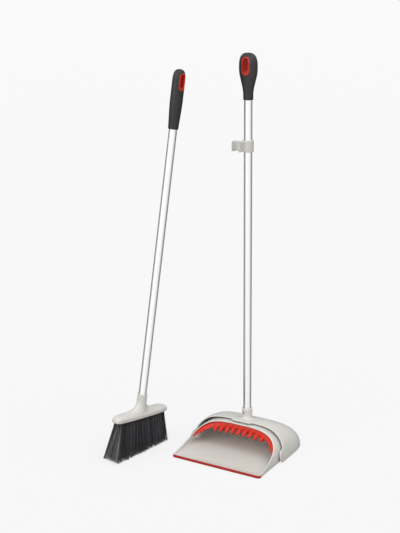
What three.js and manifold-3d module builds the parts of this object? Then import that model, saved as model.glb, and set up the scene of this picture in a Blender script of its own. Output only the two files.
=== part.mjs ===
// A long-handled dust pan and broom, standing side by side on the floor. Millimetres, +Z up.
// The origin is on the floor on the axis of the pan's pole. +X runs across the pan, whose mouth faces -Y.
import * as THREE from "three";
import { mergeVertices } from "three/addons/utils/BufferGeometryUtils.js";
import Module from "manifold-3d";

const wasm = await Module();
wasm.setup();

// Clearances.
const REST_GAP = 0.3; // between pieces that sit on each other
const RUN_GAP = 0.3; // around pins and buttons that move
const PAN_GAP = 1.2; // between the hood's crown and the pan that swings under it
const WELD = 0.05; // overlap between the parts of one solid
const PAST = 10; // how far a cutter reaches past what it cuts

// How finely curves are drawn.
const ROUND_STEPS = 20;
const SMALL_ROUND_STEPS = 12;
const RIM_STEPS = 10;
const TOOTH_STEPS = 10;
const SPRING_STEPS = 8;
const CORNER_STEPS = 6;
const FALL_STEPS = 8;
const LAST_FALL_ANGLE = 87;
const HEAD_ROUND_STEPS = 28;
const HEAD_STEPS = 8;
const NECK_STEPS = 12;

// Poles: the same aluminium tube on both tools.
const POLE_RADIUS = 9.5;
const POLE_WALL = 1.1;

// Hood: a clam shell whose cross-section is |x/halfWidth|^archX + |z/height|^archZ = 1, and which keeps that
// height as far back as crownY, then falls away to rearY.
const HOOD_WALL = 2.2;
const HOOD = {
  halfWidth: 124.3,
  height: 69.2,
  archX: 4.3,
  archZ: 2.1,
  crownY: -39.5,
  rearY: 84,
  fallPower: 2.15,
  cornerY: -33,
  cornerPower: 4.6,
};
const ARCH_FACET = 9.6; // the widest facet across the arch
const ARCH_STEPS = 2 * Math.ceil(HOOD.halfWidth / ARCH_FACET);
const HOOD_EDGE_TOP_Y = -22; // the front edge at the crown
const HOOD_EDGE_LEAN = 0.47; // how far the edge leans back for each millimetre of height
const HOOD_FRONT_Y = -75;
const CATCH_HALF_WIDTH = 25; // the tongue at the middle of the hood that covers the pan's rim
const CATCH_Y = -31;
const CATCH_MIN_Z = HOOD.height - 14.2;

// Pan: a scoop nested in the hood, narrower by sideGap on each side.
const PAN_WALL = 2.2;
const PAN_FLOOR = 2.4;
const PAN_SIDE_GAP = 4.6;
const PAN_REAR_GAP = 4.5;
const PAN_ARCH_X = 3.6;
const PAN = {
  ...HOOD,
  halfWidth: HOOD.halfWidth - HOOD_WALL - PAN_SIDE_GAP,
  height: HOOD.height - HOOD_WALL - PAN_GAP,
  rearY: HOOD.rearY - HOOD_WALL - PAN_REAR_GAP,
  archX: PAN_ARCH_X,
};
const LIP_Y = -156; // the front of the rubber lip
const LIP_DEPTH = 3.2;
const LIP_HEIGHT = 4.5;
const LIP_CORNER = 6;
const LIP_RETURN = 9; // how far the lip runs back along each side
const SILL_HEIGHT = 4.4; // thickness of the pan's floor right behind the lip
const SILL_RUN = 16;
const SILL_FLAT = 6.4; // how much of that run keeps the full thickness

// The pan's rim seen from the side, from the lip up over the brow.
const RIM_LOW = { y: -105, z: 14 };
const RIM_MIDDLE = { y: -68, z: 25 };
const RIM_SHOULDER = { y: -44, z: PAN.height - 14.8 };
const RIM_BROW = { y: -33, z: PAN.height + 0.7 };
const RIM_PAST = { y: -22, z: PAN.height + 16.2 };

// Pivot: the pan hangs on a pin at each side.
const PIVOT_Y = -46.5;
const PIVOT_Z = 14.5;
const EAR_RADIUS = 14.5;
const PIN_RADIUS = 4;
const PIN_FLANGE_RADIUS = 8;
const PIN_FLANGE = 2.4;
const PIN_RECESS_RADIUS = 3;
const PIN_RECESS = 2;
const BOSS_RADIUS = 8.6;
const BOSS_FLOOR = 1.6;
const PAD_PROUD = 0.4;

// Comb under the pan's brow.
const COMB_THICKNESS = 8;
const COMB_SETBACK = 1.6;
const COMB_DEPTH = 10;
const COMB_LOW_Z = 27;
const COMB_TEETH = 9;
const COMB_PITCH = 16;
const TOOTH_BASE_RADIUS = 6.2;
const TOOTH_TIP_RADIUS = 3;
const TOOTH_TIP_Y = -50;
const TOOTH_TIP_DROP = 14.5; // below the pan's inner crown
const TOOTH_ROOT_Y = -27;
const TOOTH_ROOT_DROP = 5.5;

// Pan socket and pole.
const SOCKET_WALL = 2.6;
const SOCKET_RADIUS = POLE_RADIUS + REST_GAP + SOCKET_WALL;
const SOCKET_RISE = 24.3; // above the hood's crown
const SOCKET_TOP_Z = HOOD.height + SOCKET_RISE;
const SOCKET_SINK = 2.4; // how far its floor lies below the hood's crown
const SOCKET_FLOOR_Z = HOOD.height - SOCKET_SINK;
const SOCKET_FLARE = 5;
const SOCKET_FLARE_HEIGHT = 9;
const SOCKET_BEVEL = 1;
const PAN_TOTAL_HEIGHT = 943.5;
const PAN_POLE_DROP = 61.5; // from the grip's top down to the pole's top
const PAN_POLE_TOP_Z = PAN_TOTAL_HEIGHT - PAN_POLE_DROP;

// Grips, each an oval swelling that starts round at the pole.
const PAN_GRIP_WALL = 1.9; // over the pole, where the grip starts
const PAN_GRIP = {
  length: 104.5,
  baseRadius: POLE_RADIUS + PAN_GRIP_WALL,
  halfWidth: 22.4,
  halfDepth: 14.6,
  swellFrom: 0.1,
  swellTo: 0.66,
  domeFrom: 0.69,
  holeLength: 42,
  holeWidth: 21,
  holeDrop: 27.5,
};
const BROOM_GRIP_WALL = 1.7;
const BROOM_GRIP = {
  length: 135,
  baseRadius: POLE_RADIUS + BROOM_GRIP_WALL,
  halfWidth: 16.6,
  halfDepth: 13,
  swellFrom: -0.15,
  swellTo: 0.5,
  domeFrom: 0.8,
  holeLength: 40,
  holeWidth: 19.5,
  holeDrop: 27.5,
};
const GRIP_SKIN = 3; // thickness of the soft skin over the hard core
const GRIP_DOME_POWER = 2.8;
const GRIP_STEPS = 10;
const GRIP_LAST_RING = 0.995; // where the top closes, as a share of the length
const RING_WALL = 2.6; // wall of the coloured sleeve in the hanging hole
const RING_PROUD = 0.7; // how far it stands out of the grip
const PLUG_LENGTH = 24; // how far the grip's core reaches into the pole

// Snap buttons that hold each pole in its socket.
const BUTTON_RADIUS = 3.5;
const BUTTON_RECESS = 0.5; // below the outside of the socket
const BUTTON_FLANGE_RADIUS = 4.8;
const BUTTON_FLANGE = 1;
const BUTTON_NOSE = 1; // bevel at the button's end
const PAN_BUTTON_DROP = 10; // below the top of the socket
const PAN_BUTTON_Z = SOCKET_TOP_Z - PAN_BUTTON_DROP;
const PAN_BUTTON_HEADING = -105;
const BROOM_BUTTON_HEADING = -65;
const SPRING_THICKNESS = 0.6;
const SPRING_WIDTH = 6;
const SPRING_LENGTH = 30;

// Storage clip on the pan's pole.
const CLIP_DROP = 118; // from the grip's lower end down to the clip's
const CLIP_Z = PAN_TOTAL_HEIGHT - PAN_GRIP.length - CLIP_DROP;
const CLIP_HEIGHT = 26.4;
const CLIP_ARM_HEIGHT = 23;
const CLIP_RING_WALL = 3.2;
const CLIP_RING_RADIUS = POLE_RADIUS + REST_GAP + CLIP_RING_WALL;
const CLIP_JAW_WALL = 2.8;
const CLIP_JAW_GRIP = 0.2; // how much tighter the jaw is than the pole
const CLIP_JAW_BORE = POLE_RADIUS - CLIP_JAW_GRIP;
const CLIP_NECK = 1.9; // between the outsides of the ring and the jaw
const CLIP_CENTRES = CLIP_RING_RADIUS + CLIP_NECK + CLIP_JAW_BORE + CLIP_JAW_WALL;
const CLIP_MOUTH_HALF_ANGLE = 58;
const CLIP_HEADING = 228;
const CLIP_MOUTH_TURN = 35;
const CLIP_LINK_WIDTH = 9;

// Broom: where it stands, how it leans, and which way its head runs.
const BROOM_X = -214;
const BROOM_Y = -165;
const BROOM_LEAN = 7.9;
const BROOM_LEAN_HEADING = 53;
const BROOM_HEAD_HEADING = 80;
const BROOM_LENGTH = 914.8;
const BROOM_POLE_DROP = 58.8; // from the grip's top down to the pole's top
const BROOM_POLE_TOP = BROOM_LENGTH - BROOM_POLE_DROP;
const HEAD_BOTTOM = 87.5;
const HEAD_HEIGHT = 14;
const HEAD_HALF_LENGTH = 88.5;
const HEAD_HALF_DEPTH = 16.5;
const HEAD_WALL = 3.4;
const HEAD_CROWN = 10; // how far the head's top is rounded in
const HEAD_CROWN_FROM = 0.45; // where the rounding starts, and where it would meet, as shares of the height
const HEAD_CROWN_FULL = 1.03;
const NECK_RISE = 42.5; // above the head's crown
const NECK_TOP = HEAD_BOTTOM + HEAD_HEIGHT + NECK_RISE;
const NECK_WALL = 1.8;
const NECK_RADIUS = POLE_RADIUS + REST_GAP + NECK_WALL;
const NECK_FOOT_HALF_LENGTH = 47;
const NECK_FOOT_HALF_DEPTH = 13;
const NECK_FOOT_SHARE = 0.7; // how far up the head the neck starts
const NECK_SWEEP = 2.6;
const NECK_SOCKET_DEPTH = 36;
const NECK_SOCKET_FLOOR = NECK_TOP - NECK_SOCKET_DEPTH;
const BROOM_BUTTON_DROP = 15; // below the top of the neck
const BROOM_BUTTON_Z = NECK_TOP - BROOM_BUTTON_DROP;
const BLOCK_HEIGHT = 7;

// Bristles.
const BRISTLE_ROWS = 5;
const TUFTS_PER_ROW = 17;
const TUFT_STEPS = 2; // points across one tuft
const BRISTLE_END_INSET = 7.5; // of the rows from the head's outline, where they leave it
const BRISTLE_SIDE_INSET = 4.5;
const BRISTLE_END_SPLAY = 7; // how far the rows spread on their way down to the floor
const BRISTLE_SIDE_SPLAY = 13;
const BRISTLE_TOP_HALF_LENGTH = HEAD_HALF_LENGTH - BRISTLE_END_INSET;
const BRISTLE_TOP_HALF_DEPTH = HEAD_HALF_DEPTH - BRISTLE_SIDE_INSET;
const BRISTLE_FLOOR_HALF_LENGTH = BRISTLE_TOP_HALF_LENGTH + BRISTLE_END_SPLAY;
const BRISTLE_FLOOR_HALF_DEPTH = BRISTLE_TOP_HALF_DEPTH + BRISTLE_SIDE_SPLAY;
const BRISTLE_ROW_GAP = 0.8;
const TUFT_WAIST = 0.25; // how much thinner a row is between tufts
const TUFT_END = 0.6; // how thick a row is at its ends, as a share

const UP = new THREE.Vector3(0, 0, 1);
const degrees = THREE.MathUtils.degToRad;

// Solids and geometry.

function solid(geometry) {
  const bare = geometry.clone();
  bare.deleteAttribute("normal");
  bare.deleteAttribute("uv");
  const merged = mergeVertices(bare, 1e-4);
  const mesh = new wasm.Mesh({
    numProp: 3,
    vertProperties: merged.attributes.position.array,
    triVerts: new Uint32Array(merged.index.array),
  });
  return new wasm.Manifold(mesh);
}

function geometryOf(body) {
  const mesh = body.getMesh();
  const geometry = new THREE.BufferGeometry();
  geometry.setAttribute("position", new THREE.BufferAttribute(mesh.vertProperties, 3));
  geometry.setIndex(new THREE.BufferAttribute(mesh.triVerts, 1));
  geometry.computeVertexNormals();
  return geometry;
}

// A closed skin over rings of points. Each ring runs counter-clockwise as seen from before the first one.
function loft(rings) {
  const count = rings[0].length;
  const positions = rings.flat().flatMap((point) => point.toArray());
  const index = [];
  for (let r = 0; r + 1 < rings.length; r += 1) {
    for (let k = 0; k < count; k += 1) {
      const a = r * count + k;
      const b = r * count + ((k + 1) % count);
      index.push(a, b + count, b, a, a + count, b + count);
    }
  }
  const last = (rings.length - 1) * count;
  for (let k = 1; k + 1 < count; k += 1) {
    index.push(0, k, k + 1);
    index.push(last, last + k + 1, last + k);
  }
  const geometry = new THREE.BufferGeometry();
  geometry.setAttribute("position", new THREE.Float32BufferAttribute(positions, 3));
  geometry.setIndex(index);
  return solid(geometry);
}

function box(x0, x1, y0, y1, z0, z1) {
  const geometry = new THREE.BoxGeometry(x1 - x0, y1 - y0, z1 - z0);
  geometry.translate((x0 + x1) / 2, (y0 + y1) / 2, (z0 + z1) / 2);
  return solid(geometry);
}

// A round bar from one point to another, which may taper.
function bar(from, to, radius, endRadius = radius, steps = ROUND_STEPS) {
  const along = new THREE.Vector3().subVectors(to, from);
  const geometry = new THREE.CylinderGeometry(endRadius, radius, along.length(), steps);
  geometry.translate(0, along.length() / 2, 0);
  const turn = new THREE.Quaternion().setFromUnitVectors(new THREE.Vector3(0, 1, 0), along.normalize());
  geometry.applyQuaternion(turn);
  geometry.translate(from.x, from.y, from.z);
  return solid(geometry);
}

function uprightBar(radius, z0, z1, x = 0, y = 0) {
  return bar(new THREE.Vector3(x, y, z0), new THREE.Vector3(x, y, z1), radius);
}

// A bar of polygon section along +Z, and one along +X whose outline is drawn in Y and Z.
function prismZ(shape, z0, z1, curveSegments = SMALL_ROUND_STEPS) {
  const geometry = new THREE.ExtrudeGeometry(shape, { depth: z1 - z0, bevelEnabled: false, curveSegments });
  geometry.translate(0, 0, z0);
  return solid(geometry);
}

function prismX(shape, x0, x1, curveSegments = SMALL_ROUND_STEPS) {
  const geometry = new THREE.ExtrudeGeometry(shape, { depth: x1 - x0, bevelEnabled: false, curveSegments });
  geometry.translate(0, 0, x0);
  const yAxis = new THREE.Vector3(0, 1, 0);
  const xAxis = new THREE.Vector3(1, 0, 0);
  geometry.applyMatrix4(new THREE.Matrix4().makeBasis(yAxis, UP, xAxis));
  return solid(geometry);
}

// A polar direction in the horizontal plane.
function heading(angle) {
  return new THREE.Vector3(Math.cos(degrees(angle)), Math.sin(degrees(angle)), 0);
}

// Hood and pan.

function archRing(dome, inset, y, widthScale, heightScale) {
  const ring = [];
  const halfWidth = (dome.halfWidth - inset) * widthScale;
  const height = (dome.height - inset) * heightScale;
  for (let i = 0; i <= ARCH_STEPS; i += 1) {
    const angle = (Math.PI * i) / ARCH_STEPS;
    const across = Math.cos(angle);
    const x = halfWidth * Math.sign(across) * Math.abs(across) ** (2 / dome.archX);
    const z = height * Math.abs(Math.sin(angle)) ** (2 / dome.archZ);
    ring.push(new THREE.Vector3(x, y, z));
  }
  ring.push(new THREE.Vector3(-halfWidth, y, -PAST), new THREE.Vector3(halfWidth, y, -PAST));
  return ring;
}

// The dome's solid, set in from its surface by an inset, and running on below the floor.
function domeSolid(dome, inset, frontY) {
  const rearY = dome.rearY - inset;
  const rings = [archRing(dome, inset, frontY, 1, 1)];
  for (let j = 0; j <= FALL_STEPS; j += 1) {
    const angle = degrees((LAST_FALL_ANGLE * j) / FALL_STEPS);
    const y = dome.crownY + (rearY - dome.crownY) * Math.sin(angle) ** (2 / dome.fallPower);
    const heightScale = Math.cos(angle) ** (2 / dome.fallPower);
    const corner = Math.max(0, (y - dome.cornerY) / (rearY - dome.cornerY));
    const widthScale = (1 - corner ** dome.cornerPower) ** (1 / dome.cornerPower);
    rings.push(archRing(dome, inset, y, widthScale, heightScale));
  }
  return loft(rings);
}

function aboveFloor(body, floorZ = 0) {
  const side = HOOD.halfWidth + PAST;
  const top = HOOD.height + SOCKET_TOP_Z;
  return body.intersect(box(-side, side, LIP_Y - PAST, HOOD.rearY + PAST, floorZ, top));
}

function hoodEdgeY(z) {
  return HOOD_EDGE_TOP_Y - (HOOD.height - z) * HOOD_EDGE_LEAN;
}

// Everything in front of the hood's edge: a leaning face, without the round ears and the catch.
function hoodFrontCutter() {
  const side = HOOD.halfWidth + PAST;
  const top = HOOD.height + PAST;
  const front = LIP_Y - PAST;
  const shape = new THREE.Shape();
  shape.moveTo(front, -2 * PAST);
  shape.lineTo(hoodEdgeY(-2 * PAST), -2 * PAST);
  shape.lineTo(hoodEdgeY(top), top);
  shape.lineTo(front, top);
  const face = prismX(shape, -side, side);
  const left = new THREE.Vector3(-side - 1, PIVOT_Y, PIVOT_Z);
  const right = new THREE.Vector3(side + 1, PIVOT_Y, PIVOT_Z);
  const ears = bar(left, right, EAR_RADIUS);
  const catchTongue = box(-CATCH_HALF_WIDTH, CATCH_HALF_WIDTH, CATCH_Y, 0, CATCH_MIN_Z, top + 1);
  return face.subtract(ears).subtract(catchTongue);
}

// Half-width of a dome's side at a height above the floor.
function sideAt(dome, inset, z) {
  const share = (z / (dome.height - inset)) ** dome.archZ;
  return (dome.halfWidth - inset) * (1 - share) ** (1 / dome.archX);
}

function pivotBar(x0, x1, radius) {
  return bar(new THREE.Vector3(x0, PIVOT_Y, PIVOT_Z), new THREE.Vector3(x1, PIVOT_Y, PIVOT_Z), radius);
}

function socketSolid() {
  const profile = [
    new THREE.Vector2(0, SOCKET_FLOOR_Z - HOOD_WALL),
    new THREE.Vector2(SOCKET_RADIUS + SOCKET_FLARE, SOCKET_FLOOR_Z - HOOD_WALL),
    new THREE.Vector2(SOCKET_RADIUS + SOCKET_FLARE / 3, SOCKET_FLOOR_Z + SOCKET_FLARE_HEIGHT / 3),
    new THREE.Vector2(SOCKET_RADIUS, SOCKET_FLOOR_Z + SOCKET_FLARE_HEIGHT),
    new THREE.Vector2(SOCKET_RADIUS, SOCKET_TOP_Z - SOCKET_BEVEL),
    new THREE.Vector2(SOCKET_RADIUS - SOCKET_BEVEL, SOCKET_TOP_Z),
    new THREE.Vector2(0, SOCKET_TOP_Z),
  ];
  const geometry = new THREE.LatheGeometry(profile, ROUND_STEPS);
  geometry.rotateX(Math.PI / 2);
  return solid(geometry);
}

function buttonHole(headingAngle, z, reach) {
  const from = new THREE.Vector3(0, 0, z);
  const to = from.clone().addScaledVector(heading(headingAngle), reach);
  return bar(from, to, BUTTON_RADIUS + RUN_GAP);
}

function hoodBody() {
  const shell = domeSolid(HOOD, 0, HOOD_FRONT_Y).subtract(domeSolid(HOOD, HOOD_WALL, HOOD_FRONT_Y - PAST));
  let body = aboveFloor(shell.subtract(hoodFrontCutter()));
  const socket = socketSolid().subtract(domeSolid(HOOD, HOOD_WALL, HOOD_FRONT_Y));
  body = body.add(socket);
  body = body.subtract(uprightBar(POLE_RADIUS + REST_GAP, SOCKET_FLOOR_Z, SOCKET_TOP_Z + PAST));
  body = body.subtract(buttonHole(PAN_BUTTON_HEADING, PAN_BUTTON_Z, SOCKET_RADIUS + PAST));
  const bossFrom = sideAt(PAN, 0, PIVOT_Z - BOSS_RADIUS) + RUN_GAP;
  const bossTo = sideAt(HOOD, HOOD_WALL, PIVOT_Z) + HOOD_WALL / 2;
  for (const side of [-1, 1]) {
    body = body.add(pivotBar(side * bossFrom, side * bossTo, BOSS_RADIUS));
    const bore = pivotBar(side * (bossFrom - 1), side * (bossTo - BOSS_FLOOR), PIN_RADIUS + REST_GAP);
    body = body.subtract(bore);
  }
  return body;
}

// Everything in front of the pan's rim, or, with a back shift, the strip between two copies of the rim.
function rimShape(shift, backShift) {
  const shape = new THREE.Shape();
  shape.moveTo(LIP_Y + shift, SILL_HEIGHT);
  const at = (point, by) => [point.y + by, point.z];
  shape.bezierCurveTo(...at(RIM_LOW, shift), ...at(RIM_MIDDLE, shift), ...at(RIM_SHOULDER, shift));
  shape.lineTo(...at(RIM_BROW, shift));
  shape.lineTo(...at(RIM_PAST, shift));
  if (backShift === undefined) {
    shape.lineTo(LIP_Y - PAST + shift, RIM_PAST.z);
    shape.lineTo(LIP_Y - PAST + shift, SILL_HEIGHT);
    return shape;
  }
  const foot = [LIP_Y + backShift, SILL_HEIGHT];
  shape.lineTo(...at(RIM_PAST, backShift));
  shape.lineTo(...at(RIM_BROW, backShift));
  shape.lineTo(...at(RIM_SHOULDER, backShift));
  shape.bezierCurveTo(...at(RIM_MIDDLE, backShift), ...at(RIM_LOW, backShift), ...foot);
  return shape;
}

// The lip in plan, a strip along the front edge that returns along both sides.
function lipOutline(grow) {
  const half = PAN.halfWidth;
  const back = LIP_Y + LIP_RETURN + grow;
  const inner = LIP_DEPTH + grow;
  const innerCorner = LIP_CORNER - inner;
  const shape = new THREE.Shape();
  shape.moveTo(-half - grow, back);
  shape.lineTo(-half - grow, LIP_Y - grow + LIP_CORNER + grow);
  shape.absarc(-half + LIP_CORNER, LIP_Y + LIP_CORNER, LIP_CORNER + grow, Math.PI, 1.5 * Math.PI);
  shape.absarc(half - LIP_CORNER, LIP_Y + LIP_CORNER, LIP_CORNER + grow, 1.5 * Math.PI, 2 * Math.PI);
  shape.lineTo(half + grow, back);
  shape.lineTo(half - inner, back);
  shape.absarc(half - LIP_CORNER, LIP_Y + LIP_CORNER, innerCorner, 2 * Math.PI, 1.5 * Math.PI, true);
  shape.absarc(-half + LIP_CORNER, LIP_Y + LIP_CORNER, innerCorner, 1.5 * Math.PI, Math.PI, true);
  shape.lineTo(-half + inner, back);
  return shape;
}

// What lies outside the rounded front corners of the pan.
function frontCornerCutter() {
  const half = PAN.halfWidth;
  const front = LIP_Y - PAST;
  const shape = new THREE.Shape();
  shape.moveTo(-half - PAST, front);
  shape.lineTo(half + PAST, front);
  shape.lineTo(half + PAST, LIP_Y + LIP_CORNER);
  shape.lineTo(half, LIP_Y + LIP_CORNER);
  shape.absarc(half - LIP_CORNER, LIP_Y + LIP_CORNER, LIP_CORNER, 0, -0.5 * Math.PI, true);
  shape.absarc(-half + LIP_CORNER, LIP_Y + LIP_CORNER, LIP_CORNER, 1.5 * Math.PI, Math.PI, true);
  shape.lineTo(-half - PAST, LIP_Y + LIP_CORNER);
  return prismZ(shape, -PAST, SILL_HEIGHT + 2 * PAST);
}

// The flat pad inside the pan's wall that each pin's flange bears on.
function padFace() {
  return sideAt(PAN, PAN_WALL, PIVOT_Z + BOSS_RADIUS) - PAD_PROUD;
}

function trayBody() {
  const side = PAN.halfWidth + PAST;
  const front = LIP_Y - PAST;
  const outer = aboveFloor(domeSolid(PAN, 0, LIP_Y));
  const hollow = aboveFloor(domeSolid(PAN, PAN_WALL, front), PAN_FLOOR);
  const sill = new THREE.Shape();
  sill.moveTo(LIP_Y, 0);
  sill.lineTo(LIP_Y + SILL_RUN, 0);
  sill.lineTo(LIP_Y + SILL_RUN, PAN_FLOOR);
  sill.lineTo(LIP_Y + SILL_FLAT, SILL_HEIGHT);
  sill.lineTo(LIP_Y, SILL_HEIGHT);
  const sillHalf = PAN.halfWidth - PAN_WALL / 2;
  let body = outer.subtract(hollow).add(prismX(sill, -sillHalf, sillHalf));
  body = body.subtract(prismX(rimShape(0), -side, side, RIM_STEPS));
  body = body.subtract(frontCornerCutter());
  body = body.subtract(prismZ(lipOutline(REST_GAP), -PAST, LIP_HEIGHT + REST_GAP, CORNER_STEPS));
  for (const end of [-1, 1]) {
    const padBack = sideAt(PAN, PAN_WALL / 2, PIVOT_Z + BOSS_RADIUS);
    body = body.add(pivotBar(end * padFace(), end * padBack, BOSS_RADIUS));
    body = body.subtract(pivotBar(end * (padFace() - PAST), end * side, PIN_RADIUS + RUN_GAP));
  }
  return body;
}

function lipBody() {
  return prismZ(lipOutline(0), 0, LIP_HEIGHT, CORNER_STEPS);
}

function combBody() {
  const front = LIP_Y - PAST;
  const outer = domeSolid(PAN, PAN_WALL + REST_GAP, front);
  const inner = domeSolid(PAN, PAN_WALL + REST_GAP + COMB_THICKNESS, front - PAST);
  const side = PAN.halfWidth + PAST;
  const band = prismX(rimShape(COMB_SETBACK, COMB_SETBACK + COMB_DEPTH), -side, side, RIM_STEPS);
  let comb = outer.subtract(inner).intersect(band);
  comb = comb.intersect(box(-side, side, front, HOOD.rearY, COMB_LOW_Z, HOOD.height));
  const crown = PAN.height - PAN_WALL - REST_GAP;
  for (let i = 0; i < COMB_TEETH; i += 1) {
    const x = (i - (COMB_TEETH - 1) / 2) * COMB_PITCH;
    const drop = crown * (1 - (1 - (Math.abs(x) / PAN.halfWidth) ** PAN.archX) ** (1 / PAN.archZ));
    const root = new THREE.Vector3(x, TOOTH_ROOT_Y, crown - TOOTH_ROOT_DROP - drop);
    const tip = new THREE.Vector3(x, TOOTH_TIP_Y, crown - TOOTH_TIP_DROP - drop);
    comb = comb.add(bar(root, tip, TOOTH_BASE_RADIUS, TOOTH_TIP_RADIUS, TOOTH_STEPS).intersect(outer));
  }
  return comb;
}

function pivotPinBody(side) {
  const inside = padFace() - RUN_GAP;
  const pinEnd = sideAt(HOOD, HOOD_WALL, PIVOT_Z) + HOOD_WALL / 2 - BOSS_FLOOR - REST_GAP;
  const flange = pivotBar(side * (inside - PIN_FLANGE), side * inside, PIN_FLANGE_RADIUS);
  const shaft = pivotBar(side * (inside - PIN_FLANGE / 4), side * pinEnd, PIN_RADIUS);
  const recessEnd = inside - PIN_FLANGE + PIN_RECESS;
  const recess = pivotBar(side * (recessEnd - PIN_FLANGE - 1), side * recessEnd, PIN_RECESS_RADIUS);
  return flange.add(shaft).subtract(recess);
}

// Poles, buttons and springs, all along a tool's own Z axis.

function poleBody(z0, z1, buttonHeading, buttonZ) {
  const bore = uprightBar(POLE_RADIUS - POLE_WALL, z0 - PAST, z1 + PAST);
  const tube = uprightBar(POLE_RADIUS, z0, z1).subtract(bore);
  return tube.subtract(buttonHole(buttonHeading, buttonZ, POLE_RADIUS + PAST));
}

function buttonBody(buttonHeading, z, socketRadius) {
  const at = (reach) => new THREE.Vector3(0, 0, z).addScaledVector(heading(buttonHeading), reach);
  const boreRadius = POLE_RADIUS - POLE_WALL;
  const flangeOuter = Math.sqrt(boreRadius ** 2 - BUTTON_FLANGE_RADIUS ** 2) - RUN_GAP;
  const flangeInner = flangeOuter - BUTTON_FLANGE;
  const noseEnd = socketRadius - BUTTON_RECESS;
  const stemEnd = noseEnd - BUTTON_NOSE;
  const steps = SMALL_ROUND_STEPS;
  const stem = bar(at(flangeInner), at(stemEnd), BUTTON_RADIUS, BUTTON_RADIUS, steps);
  const nose = bar(at(stemEnd - WELD), at(noseEnd), BUTTON_RADIUS, BUTTON_RADIUS - BUTTON_NOSE, steps);
  const flange = bar(at(flangeInner), at(flangeOuter), BUTTON_FLANGE_RADIUS, BUTTON_FLANGE_RADIUS, steps);
  return stem.add(nose).add(flange);
}

// A folded strip: one leg lies on the far wall of the tube, the other carries the button.
function springBody(buttonHeading, z) {
  const boreRadius = POLE_RADIUS - POLE_WALL;
  const flangeOuter = Math.sqrt(boreRadius ** 2 - BUTTON_FLANGE_RADIUS ** 2) - RUN_GAP;
  const near = flangeOuter - BUTTON_FLANGE - REST_GAP;
  const far = -(Math.sqrt(boreRadius ** 2 - (SPRING_WIDTH / 2) ** 2) - REST_GAP);
  const t = SPRING_THICKNESS;
  const bendRadius = (near - far) / 2;
  const middle = (near + far) / 2;
  const legEnd = z - BUTTON_RADIUS - 1;
  const bendZ = z + SPRING_LENGTH - bendRadius;
  const shape = new THREE.Shape();
  shape.moveTo(near, legEnd);
  shape.lineTo(near, bendZ);
  shape.absarc(middle, bendZ, bendRadius, 0, Math.PI);
  shape.lineTo(far, legEnd);
  shape.lineTo(far + t, legEnd);
  shape.lineTo(far + t, bendZ);
  shape.absarc(middle, bendZ, bendRadius - t, Math.PI, 0, true);
  shape.lineTo(near - t, legEnd);
  const strip = prismX(shape, -SPRING_WIDTH / 2, SPRING_WIDTH / 2, SPRING_STEPS);
  return strip.rotate([0, 0, buttonHeading - 90]);
}

// Grips.

function smoothStep(from, to, value) {
  const t = Math.min(1, Math.max(0, (value - from) / (to - from)));
  return t * t * (3 - 2 * t);
}

// Oval rings from the pole end to the rounded top; the skin is set in evenly by an inset.
function gripSolid(grip, topZ, inset) {
  const rings = [];
  for (let i = 0; i <= GRIP_STEPS; i += 1) {
    const u = Math.sin((0.5 * Math.PI * i) / GRIP_STEPS);
    const t = GRIP_LAST_RING * u;
    const swell = smoothStep(grip.swellFrom, grip.swellTo, t);
    const round = t < grip.domeFrom ? 0 : (t - grip.domeFrom) / (1 - grip.domeFrom);
    const close = (1 - round ** GRIP_DOME_POWER) ** (1 / GRIP_DOME_POWER);
    const halfWidth = (grip.baseRadius + (grip.halfWidth - grip.baseRadius) * swell) * close - inset;
    const halfDepth = (grip.baseRadius + (grip.halfDepth - grip.baseRadius) * swell) * close - inset;
    if (halfWidth > 1 && halfDepth > 1) {
      rings.push(ovalRing(halfWidth, halfDepth, topZ - grip.length + (grip.length - inset) * t));
    }
  }
  return loft(rings);
}

function ovalRing(halfWidth, halfDepth, z, steps = ROUND_STEPS) {
  const ring = [];
  for (let k = 0; k < steps; k += 1) {
    const angle = (2 * Math.PI * k) / steps;
    ring.push(new THREE.Vector3(halfWidth * Math.cos(angle), -halfDepth * Math.sin(angle), z));
  }
  return ring;
}

// The hanging hole: an upright slot with round ends, through the grip along Y.
function slotBar(grip, topZ, inset) {
  const radius = grip.holeWidth / 2 - inset;
  const straight = (grip.holeLength - grip.holeWidth) / 2;
  const z = topZ - grip.holeDrop;
  const shape = new THREE.Shape();
  shape.absarc(0, straight, radius, 0, Math.PI);
  shape.absarc(0, -straight, radius, Math.PI, 2 * Math.PI);
  const reach = grip.halfDepth + PAST;
  const options = { depth: 2 * reach, bevelEnabled: false, curveSegments: CORNER_STEPS };
  const geometry = new THREE.ExtrudeGeometry(shape, options);
  geometry.rotateX(Math.PI / 2);
  geometry.translate(0, reach, z);
  return solid(geometry);
}

// A slab wider than any grip.
function slabAround(z0, z1) {
  const side = 4 * PAST;
  return box(-side, side, -side, side, z0, z1);
}

function gripCoreBody(grip, topZ, poleTop) {
  const paddle = gripSolid(grip, topZ, GRIP_SKIN);
  const above = slabAround(poleTop + REST_GAP, topZ);
  const plug = uprightBar(POLE_RADIUS - POLE_WALL - REST_GAP, poleTop - PLUG_LENGTH, poleTop + 1);
  return paddle.intersect(above).add(plug).subtract(slotBar(grip, topZ, -REST_GAP));
}

function gripSkinBody(grip, topZ, poleTop) {
  const above = slabAround(poleTop, topZ);
  const coreSpace = gripSolid(grip, topZ, GRIP_SKIN - REST_GAP).intersect(above);
  const tubeSpace = uprightBar(POLE_RADIUS + REST_GAP, topZ - grip.length - PAST, poleTop + REST_GAP);
  const hole = slotBar(grip, topZ, -REST_GAP);
  return gripSolid(grip, topZ, 0).subtract(coreSpace).subtract(tubeSpace).subtract(hole);
}

function gripRingBody(grip, topZ) {
  const plug = gripSolid(grip, topZ, -RING_PROUD).intersect(slotBar(grip, topZ, 0));
  return plug.subtract(slotBar(grip, topZ, RING_WALL));
}

// Storage clip: a closed ring on the pan's pole and an open jaw beside it for the broom's pole.

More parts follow.
